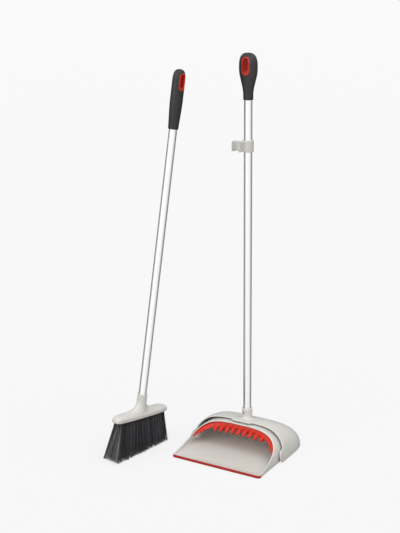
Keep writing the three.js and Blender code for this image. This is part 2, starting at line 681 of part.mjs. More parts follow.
function clipBody() {
  const z0 = CLIP_Z;
  const z1 = CLIP_Z + CLIP_HEIGHT;
  const armZ0 = CLIP_Z + (CLIP_HEIGHT - CLIP_ARM_HEIGHT) / 2;
  const armZ1 = armZ0 + CLIP_ARM_HEIGHT;
  const jaw = heading(CLIP_HEADING).multiplyScalar(CLIP_CENTRES);
  const jawOuter = CLIP_JAW_BORE + CLIP_JAW_WALL;
  const mouth = new THREE.Shape();
  const mouthReach = 3 * jawOuter;
  const half = degrees(CLIP_MOUTH_HALF_ANGLE);
  mouth.moveTo(0, 0);
  mouth.lineTo(mouthReach * Math.cos(half), -mouthReach * Math.sin(half));
  mouth.lineTo(mouthReach * Math.cos(half), mouthReach * Math.sin(half));
  const wedge = prismZ(mouth, armZ0 - PAST, armZ1 + PAST);
  const mouthCutter = wedge.rotate([0, 0, CLIP_HEADING + CLIP_MOUTH_TURN]).translate([jaw.x, jaw.y, 0]);
  const linkReach = (CLIP_RING_RADIUS + CLIP_CENTRES - CLIP_JAW_BORE) / 2;
  const halfLink = CLIP_LINK_WIDTH / 2;
  const link = box(0, linkReach, -halfLink, halfLink, armZ0, armZ1).rotate([0, 0, CLIP_HEADING]);
  return uprightBar(jawOuter, armZ0, armZ1, jaw.x, jaw.y)
    .subtract(mouthCutter)
    .add(link)
    .add(uprightBar(CLIP_RING_RADIUS, z0, z1))
    .subtract(uprightBar(CLIP_JAW_BORE, armZ0 - PAST, armZ1 + PAST, jaw.x, jaw.y))
    .subtract(uprightBar(POLE_RADIUS + RUN_GAP, z0 - PAST, z1 + PAST));
}

// Broom, in its own frame: Z up the pole, X along the head, the origin where the axis meets the floor.

const broomFrame = new THREE.Group();
{
  const lean = Math.tan(degrees(BROOM_LEAN));
  const axis = heading(BROOM_LEAN_HEADING).multiplyScalar(lean).add(UP).normalize();
  const run = heading(BROOM_HEAD_HEADING);
  run.addScaledVector(axis, -run.dot(axis)).normalize();
  const back = new THREE.Vector3().crossVectors(axis, run);
  broomFrame.quaternion.setFromRotationMatrix(new THREE.Matrix4().makeBasis(run, back, axis));
  broomFrame.position.set(BROOM_X, BROOM_Y, 0);
  broomFrame.updateMatrix();
}

// The height of the real floor in the broom's own leaning frame.
function floorHeight(x, y) {
  const m = broomFrame.matrix.elements;
  return -(m[2] * x + m[6] * y) / m[10];
}

function capsuleRing(halfLength, halfDepth, z, steps = HEAD_ROUND_STEPS) {
  const ring = [];
  for (let k = 0; k < steps; k += 1) {
    const angle = (2 * Math.PI * (k + 0.5)) / steps;
    const straight = (halfLength - halfDepth) * Math.sign(Math.cos(angle));
    ring.push(new THREE.Vector3(straight + halfDepth * Math.cos(angle), -halfDepth * Math.sin(angle), z));
  }
  return ring;
}

// The head's bar with round ends and a crowned top.
function headSolid() {
  const rings = [];
  for (let i = 0; i <= HEAD_STEPS; i += 1) {
    const t = i / HEAD_STEPS;
    const rise = Math.max(0, (t - HEAD_CROWN_FROM) / (HEAD_CROWN_FULL - HEAD_CROWN_FROM));
    const edge = HEAD_CROWN * (1 - Math.sqrt(1 - rise ** 2));
    rings.push(capsuleRing(HEAD_HALF_LENGTH - edge, HEAD_HALF_DEPTH - edge, HEAD_BOTTOM + HEAD_HEIGHT * t));
  }
  return loft(rings);
}

// The neck: a round socket whose sides sweep out along the head like a trumpet.
function neckSolid() {
  const rings = [];
  const foot = HEAD_BOTTOM + NECK_FOOT_SHARE * HEAD_HEIGHT;
  for (let i = 0; i <= NECK_STEPS; i += 1) {
    const t = i / NECK_STEPS;
    const spread = (1 - t) ** NECK_SWEEP;
    const halfLength = NECK_RADIUS + (NECK_FOOT_HALF_LENGTH - NECK_RADIUS) * spread;
    const halfDepth = NECK_RADIUS + (NECK_FOOT_HALF_DEPTH - NECK_RADIUS) * spread;
    rings.push(ovalRing(halfLength, halfDepth, foot + (NECK_TOP - foot) * t));
  }
  return loft(rings);
}

function headBody() {
  let body = headSolid().add(neckSolid());
  const hollow = [];
  for (const z of [HEAD_BOTTOM - PAST, HEAD_BOTTOM + BLOCK_HEIGHT + REST_GAP]) {
    hollow.push(capsuleRing(HEAD_HALF_LENGTH - HEAD_WALL, HEAD_HALF_DEPTH - HEAD_WALL, z));
  }
  body = body.subtract(loft(hollow));
  body = body.subtract(uprightBar(POLE_RADIUS + REST_GAP, NECK_SOCKET_FLOOR, NECK_TOP + PAST));
  return body.subtract(buttonHole(BROOM_BUTTON_HEADING, BROOM_BUTTON_Z, NECK_RADIUS + PAST));
}

function blockBody() {
  const edge = HEAD_WALL + REST_GAP;
  const rings = [];
  for (const z of [HEAD_BOTTOM, HEAD_BOTTOM + BLOCK_HEIGHT]) {
    rings.push(capsuleRing(HEAD_HALF_LENGTH - edge, HEAD_HALF_DEPTH - edge, z));
  }
  return loft(rings);
}

// One row of tufts: a thin wall, thicker at each tuft, that fans out down to the floor.
function bristleRowBody(row) {
  const middle = (BRISTLE_ROWS - 1) / 2;
  const place = (row - middle) / BRISTLE_ROWS;
  const steps = TUFTS_PER_ROW * TUFT_STEPS;
  const ring = (halfLength, halfDepth, z) => {
    const y = 2 * halfDepth * place;
    const thickness = (2 * halfDepth) / BRISTLE_ROWS - BRISTLE_ROW_GAP;
    const points = [];
    for (const side of [-1, 1]) {
      for (let k = 0; k <= steps; k += 1) {
        const x = halfLength * side * ((2 * k) / steps - 1);
        const waist = TUFT_WAIST * Math.cos((Math.PI * k) / TUFT_STEPS) ** 2;
        const corner = k === 0 || k === steps ? TUFT_END : 1 - waist;
        points.push(new THREE.Vector3(x, y + 0.5 * side * thickness * corner, 0));
      }
    }
    points.forEach((point) => {
      point.z = z === undefined ? floorHeight(point.x, point.y) : z;
    });
    return points;
  };
  const top = ring(BRISTLE_TOP_HALF_LENGTH, BRISTLE_TOP_HALF_DEPTH, HEAD_BOTTOM - REST_GAP);
  const foot = ring(BRISTLE_FLOOR_HALF_LENGTH, BRISTLE_FLOOR_HALF_DEPTH);
  return loft([foot, top]);
}

// Materials.

function material(color, roughness, metalness = 0) {
  return new THREE.MeshStandardMaterial({ color, roughness, metalness });
}

const shellPlastic = material(0xdcdad5, 0.42);
const redRubber = material(0xd9361f, 0.5);
const lipRubber = material(0xb02a1c, 0.55);
const gripRubber = material(0x3c3b3c, 0.6);
const corePlastic = material(0x2a2a2b, 0.5);
const aluminium = material(0xc9cacc, 0.32, 1);
const springSteel = material(0x9a9c9e, 0.35, 1);
const bristleNylon = material(0x1c1b1d, 0.55);

function place(group, name, body, look) {
  const mesh = new THREE.Mesh(geometryOf(body), look);
  mesh.name = name;
  group.add(mesh);
}

const dustPanAndBroom = new THREE.Group();
const pan = dustPanAndBroom;
const broom = broomFrame;
const panTop = PAN_TOTAL_HEIGHT;
const panPoleFoot = SOCKET_FLOOR_Z + REST_GAP;
const panPole = poleBody(panPoleFoot, PAN_POLE_TOP_Z, PAN_BUTTON_HEADING, PAN_BUTTON_Z);
const panButton = buttonBody(PAN_BUTTON_HEADING, PAN_BUTTON_Z, SOCKET_RADIUS);

place(pan, "pan_hood", hoodBody(), shellPlastic);
place(pan, "pan_tray", trayBody(), shellPlastic);
place(pan, "pan_lip", lipBody(), lipRubber);
place(pan, "pan_comb", combBody(), redRubber);
place(pan, "pivot_pin_left", pivotPinBody(-1), shellPlastic);
place(pan, "pivot_pin_right", pivotPinBody(1), shellPlastic);
place(pan, "pan_pole", panPole, aluminium);
place(pan, "pan_snap_button", panButton, springSteel);
place(pan, "pan_snap_spring", springBody(PAN_BUTTON_HEADING, PAN_BUTTON_Z), springSteel);
place(pan, "pan_grip_core", gripCoreBody(PAN_GRIP, panTop, PAN_POLE_TOP_Z), corePlastic);
place(pan, "pan_grip_skin", gripSkinBody(PAN_GRIP, panTop, PAN_POLE_TOP_Z), gripRubber);
place(pan, "pan_hang_ring", gripRingBody(PAN_GRIP, panTop), redRubber);
place(pan, "storage_clip", clipBody(), shellPlastic);

const broomPoleFoot = NECK_SOCKET_FLOOR + REST_GAP;
const broomPole = poleBody(broomPoleFoot, BROOM_POLE_TOP, BROOM_BUTTON_HEADING, BROOM_BUTTON_Z);
const broomButton = buttonBody(BROOM_BUTTON_HEADING, BROOM_BUTTON_Z, NECK_RADIUS);

place(broom, "broom_head", headBody(), shellPlastic);
place(broom, "bristle_block", blockBody(), corePlastic);
for (let row = 0; row < BRISTLE_ROWS; row += 1) {
  place(broom, `bristle_row_${row + 1}`, bristleRowBody(row), bristleNylon);
}
place(broom, "broom_pole", broomPole, aluminium);
place(broom, "broom_snap_button", broomButton, springSteel);
place(broom, "broom_snap_spring", springBody(BROOM_BUTTON_HEADING, BROOM_BUTTON_Z), springSteel);
place(broom, "broom_grip_core", gripCoreBody(BROOM_GRIP, BROOM_LENGTH, BROOM_POLE_TOP), corePlastic);
place(broom, "broom_grip_skin", gripSkinBody(BROOM_GRIP, BROOM_LENGTH, BROOM_POLE_TOP), gripRubber);
place(broom, "broom_hang_ring", gripRingBody(BROOM_GRIP, BROOM_LENGTH), redRubber);
dustPanAndBroom.add(broomFrame);

export default dustPanAndBroom;
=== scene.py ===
# %% [markdown]
# # A long-handled dust pan and its broom
#
# The set has a scoop that swings under a domed hood, a pole with a soft grip and a broom of the same make.
# Its mechanical model is already packed, so this lesson only dresses it: every piece is rebuilt as a smooth
# surface in the same place, and given a finish. Lengths below are in millimetres, because that is how a maker
# would state them, and they are turned into metres where a surface becomes a mesh.

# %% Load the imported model
import math

import bmesh
import bpy
import numpy as np
from mathutils import Matrix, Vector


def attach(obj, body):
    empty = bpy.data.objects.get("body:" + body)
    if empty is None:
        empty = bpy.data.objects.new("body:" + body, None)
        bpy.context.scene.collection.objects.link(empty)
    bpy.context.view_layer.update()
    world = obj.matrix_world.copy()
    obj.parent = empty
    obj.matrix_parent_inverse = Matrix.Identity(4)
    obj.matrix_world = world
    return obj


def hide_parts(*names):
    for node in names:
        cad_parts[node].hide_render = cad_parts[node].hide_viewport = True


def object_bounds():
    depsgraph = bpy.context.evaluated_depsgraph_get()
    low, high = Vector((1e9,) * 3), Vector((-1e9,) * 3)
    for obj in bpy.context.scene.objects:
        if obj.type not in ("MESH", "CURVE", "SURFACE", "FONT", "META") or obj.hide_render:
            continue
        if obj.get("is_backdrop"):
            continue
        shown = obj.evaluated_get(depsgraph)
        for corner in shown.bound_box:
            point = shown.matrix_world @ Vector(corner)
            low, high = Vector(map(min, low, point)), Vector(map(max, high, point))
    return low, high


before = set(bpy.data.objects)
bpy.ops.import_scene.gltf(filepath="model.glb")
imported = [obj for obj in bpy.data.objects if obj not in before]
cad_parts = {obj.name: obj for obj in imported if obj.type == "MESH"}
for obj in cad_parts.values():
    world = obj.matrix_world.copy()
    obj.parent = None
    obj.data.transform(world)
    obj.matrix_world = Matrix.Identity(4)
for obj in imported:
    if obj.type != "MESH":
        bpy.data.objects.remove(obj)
cad_low, cad_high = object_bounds()
MM = 0.001
random = np.random.default_rng(17)
print("model box in mm:", [round(v / MM) for v in (cad_high - cad_low)])

# %% [markdown]
# ## The studio
#
# The set stands on a pale sweep of paper in soft light that comes mostly from above. Satin aluminium shows what
# is around it, so the surroundings matter: a bright card on the viewer's side gives the poles their white
# middle, and a darker room behind gives them grey edges. The paper isn't seen in reflections, because it would
# fill those edges with white.

# %% Camera
CAMERA_PLACE = (1.34572, -2.46846, 1.31692)
CAMERA_YAW, CAMERA_TILT, CAMERA_ROLL = 30.859, 72.844, -0.4775
CAMERA_LENS = 85.386
camera_data = bpy.data.cameras.new("studio_camera")
camera_data.lens = CAMERA_LENS
camera = bpy.data.objects.new("studio_camera", camera_data)
turns = ((CAMERA_YAW, "Z"), (CAMERA_TILT, "X"), (CAMERA_ROLL, "Z"))
aim = Matrix.Identity(4)
for angle, axis in turns:
    aim = aim @ Matrix.Rotation(math.radians(angle), 4, axis)
camera.matrix_world = Matrix.Translation(CAMERA_PLACE) @ aim
bpy.context.collection.objects.link(camera)
bpy.context.scene.camera = camera
bpy.context.scene.view_settings.view_transform = "Standard"
print("camera", round(camera_data.lens, 1), "mm, tilted", round(90 - CAMERA_TILT, 1), "degrees down")

# %% [markdown]
# ## Writing shader maths
#
# A finish is a tree of nodes. Joining nodes one by one is slow to read, so a small class wraps a socket and
# lets it be added, multiplied or subtracted like a number. Everything else goes through one method that makes
# any node from its type, its settings and its inputs.


# %% A socket that takes part in sums
class Field:
    """A value that varies over a surface. Its operators add Math nodes."""

    def __init__(self, maker, socket):
        self.maker, self.socket = maker, socket

    def maths(self, operation, first, second):
        settings = {"operation": operation}
        return self.maker.node("ShaderNodeMath", settings, {0: first, 1: second})

    def __add__(self, other):
        return self.maths("ADD", self, other)

    def __radd__(self, other):
        return self.maths("ADD", other, self)

    def __sub__(self, other):
        return self.maths("SUBTRACT", self, other)

    def __rsub__(self, other):
        return self.maths("SUBTRACT", other, self)

    def __mul__(self, other):
        return self.maths("MULTIPLY", self, other)

    def __rmul__(self, other):
        return self.maths("MULTIPLY", other, self)


# %% A maker of nodes
class Maker:
    """Makes the nodes of one shader tree."""

    def __init__(self, tree):
        self.tree = tree

    def node(self, kind, settings=None, inputs=None, output=0):
        """Any node: its settings are set first, then its inputs. Returns one of its outputs."""
        made = self.tree.nodes.new(kind)
        for key, value in (settings or {}).items():
            setattr(made, key, value)
        for key, value in (inputs or {}).items():
            if isinstance(value, Field):
                self.tree.links.new(value.socket, made.inputs[key])
            else:
                made.inputs[key].default_value = value
        return Field(self, made.outputs[output])

    def object_place(self):
        return self.node("ShaderNodeTexCoord", output="Object")

    def noise(self, place, scale, detail=3.0, rough=0.55):
        values = {"Vector": place, "Scale": scale, "Detail": detail, "Roughness": rough}
        return self.node("ShaderNodeTexNoise", None, values)

    def step(self, field, low, high):
        """0 below low, 1 above high, smooth between."""
        settings = {"interpolation_type": "SMOOTHSTEP"}
        return self.node("ShaderNodeMapRange", settings, {0: field, 1: low, 2: high})

    def blend(self, amount, first, second):
        """From the first colour to the second by the amount."""
        return self.node("ShaderNodeMix", {"data_type": "RGBA"}, {0: amount, 6: first, 7: second}, 2)

    def bump(self, height, depth, strength=1.0):
        """A bump whose height field spans the depth, in metres."""
        return self.node("ShaderNodeBump", None, {"Height": height, "Distance": depth, "Strength": strength})


class Finish(Maker):
    """A material being made, with one Principled shader at its end."""

    def __init__(self, name, **constants):
        self.material = bpy.data.materials.new(name)
        self.material.use_nodes = True
        super().__init__(self.material.node_tree)
        self.shader = self.tree.nodes["Principled BSDF"]
        for socket, value in constants.items():
            self.shader.inputs[socket.replace("_", " ")].default_value = value

    def feed(self, **varying):
        """Joins fields to the shader's sockets."""
        for socket, field in varying.items():
            self.tree.links.new(field.socket, self.shader.inputs[socket.replace("_", " ")])


def colour(red, green, blue):
    """A display colour from 0 to 255 as the linear light that shaders use."""
    share = np.array([red, green, blue]) / 255
    linear = np.where(share < 0.04045, share / 12.92, ((share + 0.055) / 1.055) ** 2.4)
    return (*(float(v) for v in linear), 1.0)


print("shader helpers ready; mid grey is", round(colour(128, 128, 128)[0], 3))

# %% Paper floor
FLOOR_REACH, FLOOR_DROP, BOUNCE_DROP = 40.0, 0.0004, 0.0006
PAPER_GLOW, PAPER_TONE, BOUNCE_TONE = 0.76, (0.17, 0.169, 0.171, 1), (0.44, 0.44, 0.44, 1)


def sheet(name, finish, drop):
    """A square of paper just below the floor's height, which reflections don't show."""
    ends = ((-1, -1), (1, -1), (1, 1), (-1, 1))
    mesh = bpy.data.meshes.new(name)
    mesh.from_pydata([(x * FLOOR_REACH, y * FLOOR_REACH, -drop) for x, y in ends], [], [(0, 1, 2, 3)])
    mesh.materials.append(finish.material)
    laid = bpy.data.objects.new(name, mesh)
    laid.visible_glossy = False
    bpy.context.collection.objects.link(laid)
    return laid


paper = Finish("studio_paper", Roughness=0.9, Specular_IOR_Level=0.1, Emission_Strength=PAPER_GLOW)
paper.shader.inputs["Base Color"].default_value = PAPER_TONE
paper.shader.inputs["Emission Color"].default_value = (1, 1, 1, 1)
floor = sheet("studio_floor", paper, FLOOR_DROP)
floor.visible_diffuse = False
floor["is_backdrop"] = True

# %% Paper that only gives back light
bounce_paper = Finish("studio_bounce", Roughness=0.9, Specular_IOR_Level=0.0)
bounce_paper.shader.inputs["Base Color"].default_value = BOUNCE_TONE
bounce = sheet("studio_bounce", bounce_paper, BOUNCE_DROP)
bounce.visible_camera = False
bounce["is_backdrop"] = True
print("floor of", 2 * FLOOR_REACH, "m")

# %% Surroundings
CARD_SIDE = (0.479, -0.878)
world = bpy.data.worlds.new("studio_room")
world.use_nodes = True
bpy.context.scene.world = world
room = Maker(world.node_tree)
direction = room.node("ShaderNodeTexCoord", output="Generated")
split = room.node("ShaderNodeSeparateXYZ", None, {0: direction}).socket.node
east, north, height = (Field(room, split.outputs[i]) for i in range(3))
toward_card = east * CARD_SIDE[0] + north * CARD_SIDE[1]
card = room.step(toward_card, -0.35, 0.75)
sky = room.step(height, 0.05, 0.75)
MIRROR_DARK, MIRROR_CARD, MIRROR_SKY = 0.22, 0.92, 0.62
SOFT_DARK, SOFT_CARD, SOFT_SKY = 0.34, 0.30, 0.24
BACKDROP = 0.93
above = room.step(height, -0.05, 0.3)
mirrored = MIRROR_DARK + card * MIRROR_CARD + above * MIRROR_SKY
level = SOFT_DARK + card * SOFT_CARD + sky * SOFT_SKY
rays = room.node("ShaderNodeLightPath").socket.node
level = level + Field(room, rays.outputs["Is Glossy Ray"]) * (mirrored - level)
level = level + Field(room, rays.outputs["Is Camera Ray"]) * (BACKDROP - level)
background = world.node_tree.nodes["Background"]
world.node_tree.links.new(level.socket, background.inputs["Strength"])
background.inputs["Color"].default_value = (1, 1, 1, 1)
print("soft light from", SOFT_DARK, "to", round(SOFT_DARK + SOFT_CARD + SOFT_SKY, 2))


# %% Lamps
def soft_lamp(name, strength, spread, azimuth, elevation):
    """A distant soft box: azimuth 0 shines from -Y, and 90 from +X."""
    data = bpy.data.lights.new(name, "SUN")
    data.energy = strength
    data.angle = math.radians(spread)
    lamp = bpy.data.objects.new(name, data)
    lamp.rotation_euler = (math.radians(90 - elevation), 0, math.radians(azimuth))
    bpy.context.collection.objects.link(lamp)


soft_lamp("key_box", strength=0.7, spread=40, azimuth=100, elevation=62)
soft_lamp("fill_box", strength=0.95, spread=60, azimuth=-8, elevation=26)
print("two lamps set")

# %% [markdown]
# ## Turning arrays into pieces
#
# Every surface here is a grid of points worked out by numpy. A piece is one or more grids, welded together
# where their edges meet. Flat ends get a fan of faces, and smooth shading is split only at real edges.


# %% Grids to mesh
def grid_faces(rows, columns, start, closed):
    """Quads of a grid stored row by row from a start index. Closed joins the last column to the first."""
    r, c = np.meshgrid(np.arange(rows - 1), np.arange(columns if closed else columns - 1), indexing="ij")
    right = (c + 1) % columns
    a = start + r * columns + c
    b = start + r * columns + right
    return np.stack([a, b, b + columns, a + columns], axis=-1).reshape(-1, 4)


def piece(name, grids, finish, body, nodes=(), edge=35.0, stance=None):
    """A named piece from (points, closed) grids of millimetre points, of shape rows, columns, 3. The stance is
    the turn and foot of a piece that leans."""
    points, faces, start = [], [], 0
    for grid, closed in grids:
        rows, columns = grid.shape[:2]
        faces.append(grid_faces(rows, columns, start, closed))
        points.append(grid.reshape(-1, 3))
        start += rows * columns
    points = np.concatenate(points) * MM
    if stance is not None:
        points = points @ stance[0].T + stance[1]
    mesh = bpy.data.meshes.new(name)
    mesh.from_pydata(points.tolist(), [], np.concatenate(faces).tolist())
    weld(mesh)
    mesh.set_sharp_from_angle(angle=math.radians(edge))
    mesh.materials.append(finish.material)
    thing = bpy.data.objects.new(name, mesh)
    bpy.context.collection.objects.link(thing)
    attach(thing, body)
    if nodes:
        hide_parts(*nodes)
    print(name, len(mesh.polygons), "faces")
    return thing


def weld(mesh):
    """Joins points that meet, drops faces without area and turns the faces outwards."""
    work = bmesh.new()
    work.from_mesh(mesh)
    bmesh.ops.remove_doubles(work, verts=work.verts, dist=2e-6)
    bmesh.ops.dissolve_degenerate(work, dist=1e-7, edges=work.edges)
    bmesh.ops.recalc_face_normals(work, faces=work.faces)
    for face in work.faces:
        face.smooth = True
    work.to_mesh(mesh)
    work.free()


print("mesh helpers ready")


# %% Profiles carried along and round
def superellipse(half_width, half_depth, power, count):
    """Points of |x/a|^p + |y/b|^p = 1, counter-clockwise, as an array of x and y."""
    angle = np.linspace(0, 2 * np.pi, count, endpoint=False)
    c, s = np.cos(angle), np.sin(angle)
    x = half_width * np.sign(c) * np.abs(c) ** (2 / power)
    y = half_depth * np.sign(s) * np.abs(s) ** (2 / power)
    return np.stack([x, y], axis=-1)


def turned(profile, steps=64, centre=(0, 0), axis="Z"):
    """A lathe: each (radius, height) of the profile is carried round the axis: x = r cos a, y = r sin a."""
    radius, height = np.array(profile, float).T
    angle = np.linspace(0, 2 * np.pi, steps, endpoint=False)
    x = radius[:, None] * np.cos(angle)
    y = radius[:, None] * np.sin(angle)
    z = np.repeat(height[:, None], steps, axis=1)
    if axis == "X":
        return np.stack([z, x + centre[0], y + centre[1]], axis=-1)
    return np.stack([x + centre[0], y + centre[1], z], axis=-1)


def swept(path, across, up, profile):
    """A profile of (out, rise) points at each path point: P = path + out * across + rise * up."""
    out, rise = profile[..., 0], profile[..., 1]
    return path[:, None] + out[..., None] * across[:, None] + rise[..., None] * up[:, None]


def smooth(low, high, value):
    """3t^2 - 2t^3 of the share t from low to high."""
    t = np.clip((value - low) / (high - low), 0, 1)
    return t * t * (3 - 2 * t)


def even_rows(dense, rows):
    """Each column of a dense grid redrawn with rows points at equal distances along it."""
    steps = np.linalg.norm(np.diff(dense, axis=0), axis=-1)
    run = np.concatenate([np.zeros((1, dense.shape[1])), np.cumsum(steps, axis=0)])
    share = np.linspace(0, 1, rows)
    redrawn = np.empty((rows, dense.shape[1], 3))
    for column in range(dense.shape[1]):
        at = share * run[-1, column]
        for axis in range(3):
            redrawn[:, column, axis] = np.interp(at, run[:, column], dense[:, column, axis])
    return redrawn


print("profile helpers ready")

# %% [markdown]
# ## Finishes
#
# The shells are one warm light grey moulding: satin, with the fine texture of the mould, a little dust low
# down and faint rubbing. The reds are soft rubber, the grips are charcoal rubber and the poles are satin
# aluminium drawn lengthways. Patterns read the piece's own coordinates, which are metres here, so a noise of
# scale 900 has features about a millimetre across.

# %% Shell plastic
shell = Finish("shell_plastic", IOR=1.47, Specular_IOR_Level=0.6)
place = shell.object_place()
broad = shell.noise(place, 14.0, 2.0)
cloudy = shell.noise(place, 90.0, 4.0)
grain = shell.noise(place, 1500.0, 2.0)
low_down = 1 - shell.step(shell.node("ShaderNodeSeparateXYZ", None, {0: place}, 2), 0.0, 0.03)
dust = shell.step(cloudy + low_down * 0.08, 0.62, 0.86) * 0.14
tone = shell.blend(broad, colour(214, 212, 206), colour(221, 219, 213))
shell.feed(Base_Color=shell.blend(dust, tone, colour(188, 182, 170)))
shell.feed(Roughness=0.30 + cloudy * 0.10 + dust * 0.3)
shell.feed(Normal=shell.bump(grain * 0.7 + cloudy * 0.3, 0.00004, 0.5))
print("shell plastic made")


# %% Rubbers
def rubber(name, base, worn, grain_scale, gloss, depth):
    """A soft moulded rubber: base colour, paler where it is rubbed, and a fine matt grain."""
    made = Finish(name, IOR=1.5, Specular_IOR_Level=0.4)
    spot = made.object_place()
    patches = made.noise(spot, 60.0, 4.0)
    fine = made.noise(spot, grain_scale, 2.0)
    rub = made.step(patches, 0.52, 0.75) * 0.3
    made.feed(Base_Color=made.blend(rub, base, worn))
    made.feed(Roughness=gloss + patches * 0.15)
    made.feed(Normal=made.bump(fine, depth, 0.7))
    print(name, "made")
    return made


red_rubber = rubber("red_rubber", colour(208, 42, 18), colour(218, 54, 28), 1400.0, 0.36, 0.00006)
lip_rubber = rubber("lip_rubber", colour(166, 30, 14), colour(180, 44, 26), 1200.0, 0.45, 0.00006)
grip_rubber = rubber("grip_rubber", colour(38, 35, 36), colour(52, 49, 50), 1800.0, 0.38, 0.00009)
core_plastic = rubber("core_plastic", colour(34, 34, 35), colour(44, 44, 45), 900.0, 0.5, 0.00004)

# %% Drawn metal
aluminium = Finish("aluminium_tube", Metallic=1.0)
wrap = aluminium.node("ShaderNodeUVMap", {"uv_map": "wrap"})
drawn = aluminium.node("ShaderNodeMapping", None, {"Vector": wrap, "Scale": (2600.0, 5.0, 1.0)})
streaks = aluminium.noise(drawn, 1.0, 3.0)
smudge = aluminium.noise(aluminium.object_place(), 24.0, 4.0)
handled = aluminium.step(smudge, 0.55, 0.8)
aluminium.feed(Base_Color=aluminium.blend(streaks, colour(222, 222, 224), colour(240, 240, 241)))
aluminium.feed(Roughness=0.27 + streaks * 0.08 + handled * 0.10)
aluminium.feed(Normal=aluminium.bump(streaks, 0.00002, 0.5))

steel = Finish("spring_steel", Metallic=1.0)
steel_noise = steel.noise(steel.object_place(), 700.0, 3.0)
steel.feed(Base_Color=steel.blend(steel_noise, colour(168, 168, 170), colour(192, 192, 194)))
steel.feed(Roughness=0.28 + steel_noise * 0.15)
steel.feed(Normal=steel.bump(steel_noise, 0.00002, 0.4))
print("metals made")

# %% Bristle fibre
fibre = Finish("bristle_fibre", IOR=1.53, Specular_IOR_Level=0.5)
tip = fibre.node("ShaderNodeAttribute", {"attribute_name": "tip"}, output="Fac")
tone_and_sheen = fibre.node("ShaderNodeAttribute", {"attribute_name": "tone_and_sheen"}, output="Fac")
# The lighter grey blended in by the fibre attribute is mostly a painted sheen on one side of each tuft, and
# partly the fibres' own random tone.
body_tone_and_sheen = fibre.blend(tone_and_sheen, colour(4, 4, 6), colour(104, 102, 108))
frayed = fibre.blend(tone_and_sheen, colour(22, 20, 20), colour(74, 69, 67))
worn = fibre.blend(fibre.step(tip, 0.80, 1.0), body_tone_and_sheen, frayed)
fibre.feed(Base_Color=fibre.blend(fibre.step(tone_and_sheen, 1.5, 2.0), worn, colour(176, 174, 172)))
fibre.feed(Roughness=0.34 + fibre.step(tone_and_sheen, 0.0, 1.0) * 0.2)
print("bristle fibre made")

# %% [markdown]
# ## The dome
#
# Hood and scoop are the same kind of form: an arch with upright sides and a flat crown, which keeps its height
# for a while, then falls away and closes in plan towards the rear. It is easiest to say as a rule for what is
# inside it. Rays cast from a point on the inside then find the skin, and each ray starts at the open edge, so
# the mesh follows that edge exactly and needs no cutting.

# %% The dome's rule
HOOD = {
    "half_width": 124.3,
    "height": 69.2,
    "arch_x": 4.3,
    "arch_z": 2.1,
    "crown_y": -39.5,
    "rear_y": 84.0,
    "fall": 2.15,
    "corner_y": -33.0,
    "corner": 4.6,
}
SCOOP = {**HOOD, "half_width": 117.0, "height": 63.8, "rear_y": 77.3, "arch_x": 3.6}


def taper(y, dome, inset):
    """How far width and height have shrunk at y: (1 - c^p)^(1/p), for the share c of the way to the rear."""
    rear = dome["rear_y"] - inset
    fall = np.clip((y - dome["crown_y"]) / (rear - dome["crown_y"]), 0, 1 - 1e-9)
    turn = np.clip((y - dome["corner_y"]) / (rear - dome["corner_y"]), 0, 1 - 1e-9)
    width = (1 - turn ** dome["corner"]) ** (1 / dome["corner"])
    return width, (1 - fall ** dome["fall"]) ** (1 / dome["fall"])


def dome_rule(point, dome, inset):
    """|x / (a w)|^m + |z / (b s)|^n - 1: below zero inside the dome, which is set in evenly by the inset."""
    x, y, z = np.moveaxis(point, -1, 0)
    width, height = taper(y, dome, inset)
    across = np.abs(x) / ((dome["half_width"] - inset) * width)
    up = np.abs(z) / ((dome["height"] - inset) * height)
    level = across ** dome["arch_x"] + up ** dome["arch_z"] - 1
    return np.where(y > dome["rear_y"] - inset, 1.0, level)


def dome_top(x, y, dome):
    """The height of the dome's skin over a point of the floor."""
    width, height = taper(y, dome, 0)
    share = np.abs(x) / (dome["half_width"] * width)
    return dome["height"] * height * np.clip(1 - share ** dome["arch_x"], 0, 1) ** (1 / dome["arch_z"])


print("hood crown over the pole at", round(float(dome_top(0.0, 0.0, HOOD)), 1), "mm")


# %% Casting rays to the skin
def halved(low, high, beyond, rounds=34):
    """The value between low and high where beyond(value) turns true, by halving the span again and again."""
    for _ in range(rounds):
        middle = (low + high) / 2
        far = beyond(middle)
        low, high = np.where(far, low, middle), np.where(far, middle, high)
    return (low + high) / 2


def ray(around, out):
    """Unit directions: out is the angle from -Y, and around turns about Y from +X to +Z."""
    return np.stack([np.sin(out) * np.cos(around), -np.cos(out), np.sin(out) * np.sin(around)], axis=-1)


def dome_skin(around, out, centre, dome, inset, floor=None, crease=14.0):
    """Points centre + t d, where t reaches the dome, or the floor where it is nearer. The two distances are
    joined as (t1^-n + t2^-n)^(-1/n), which rounds the corner between wall and floor."""
    d = ray(around, out)
    reach = np.zeros(d.shape[:-1])
    t = halved(reach, reach + 400, lambda t: dome_rule(centre + t[..., None] * d, dome, inset) > 0)
    if floor is not None:
        down = np.maximum(-d[..., 2], 1e-6)
        t_floor = (centre[2] - floor) / down
        nearer = np.minimum(t, t_floor)
        t = nearer * ((t / nearer) ** -crease + (t_floor / nearer) ** -crease) ** (-1 / crease)
    return centre + t[..., None] * d


def open_skin(around, rows, edge_y, skin):
    """A grid from the open edge to the rear pole. edge_y(x, z) says where the edge is."""
    def behind(out):
        point = skin(around, out)
        return point[..., 1] > edge_y(point[..., 0], point[..., 2])

    start = halved(np.full(around.shape, 0.02), np.full(around.shape, 2.6), behind)
    share = np.linspace(0, 1, 6 * rows)[:, None] ** 1.6
    out = start + (math.pi - start) * share
    return even_rows(skin(np.broadcast_to(around, out.shape), out), rows)


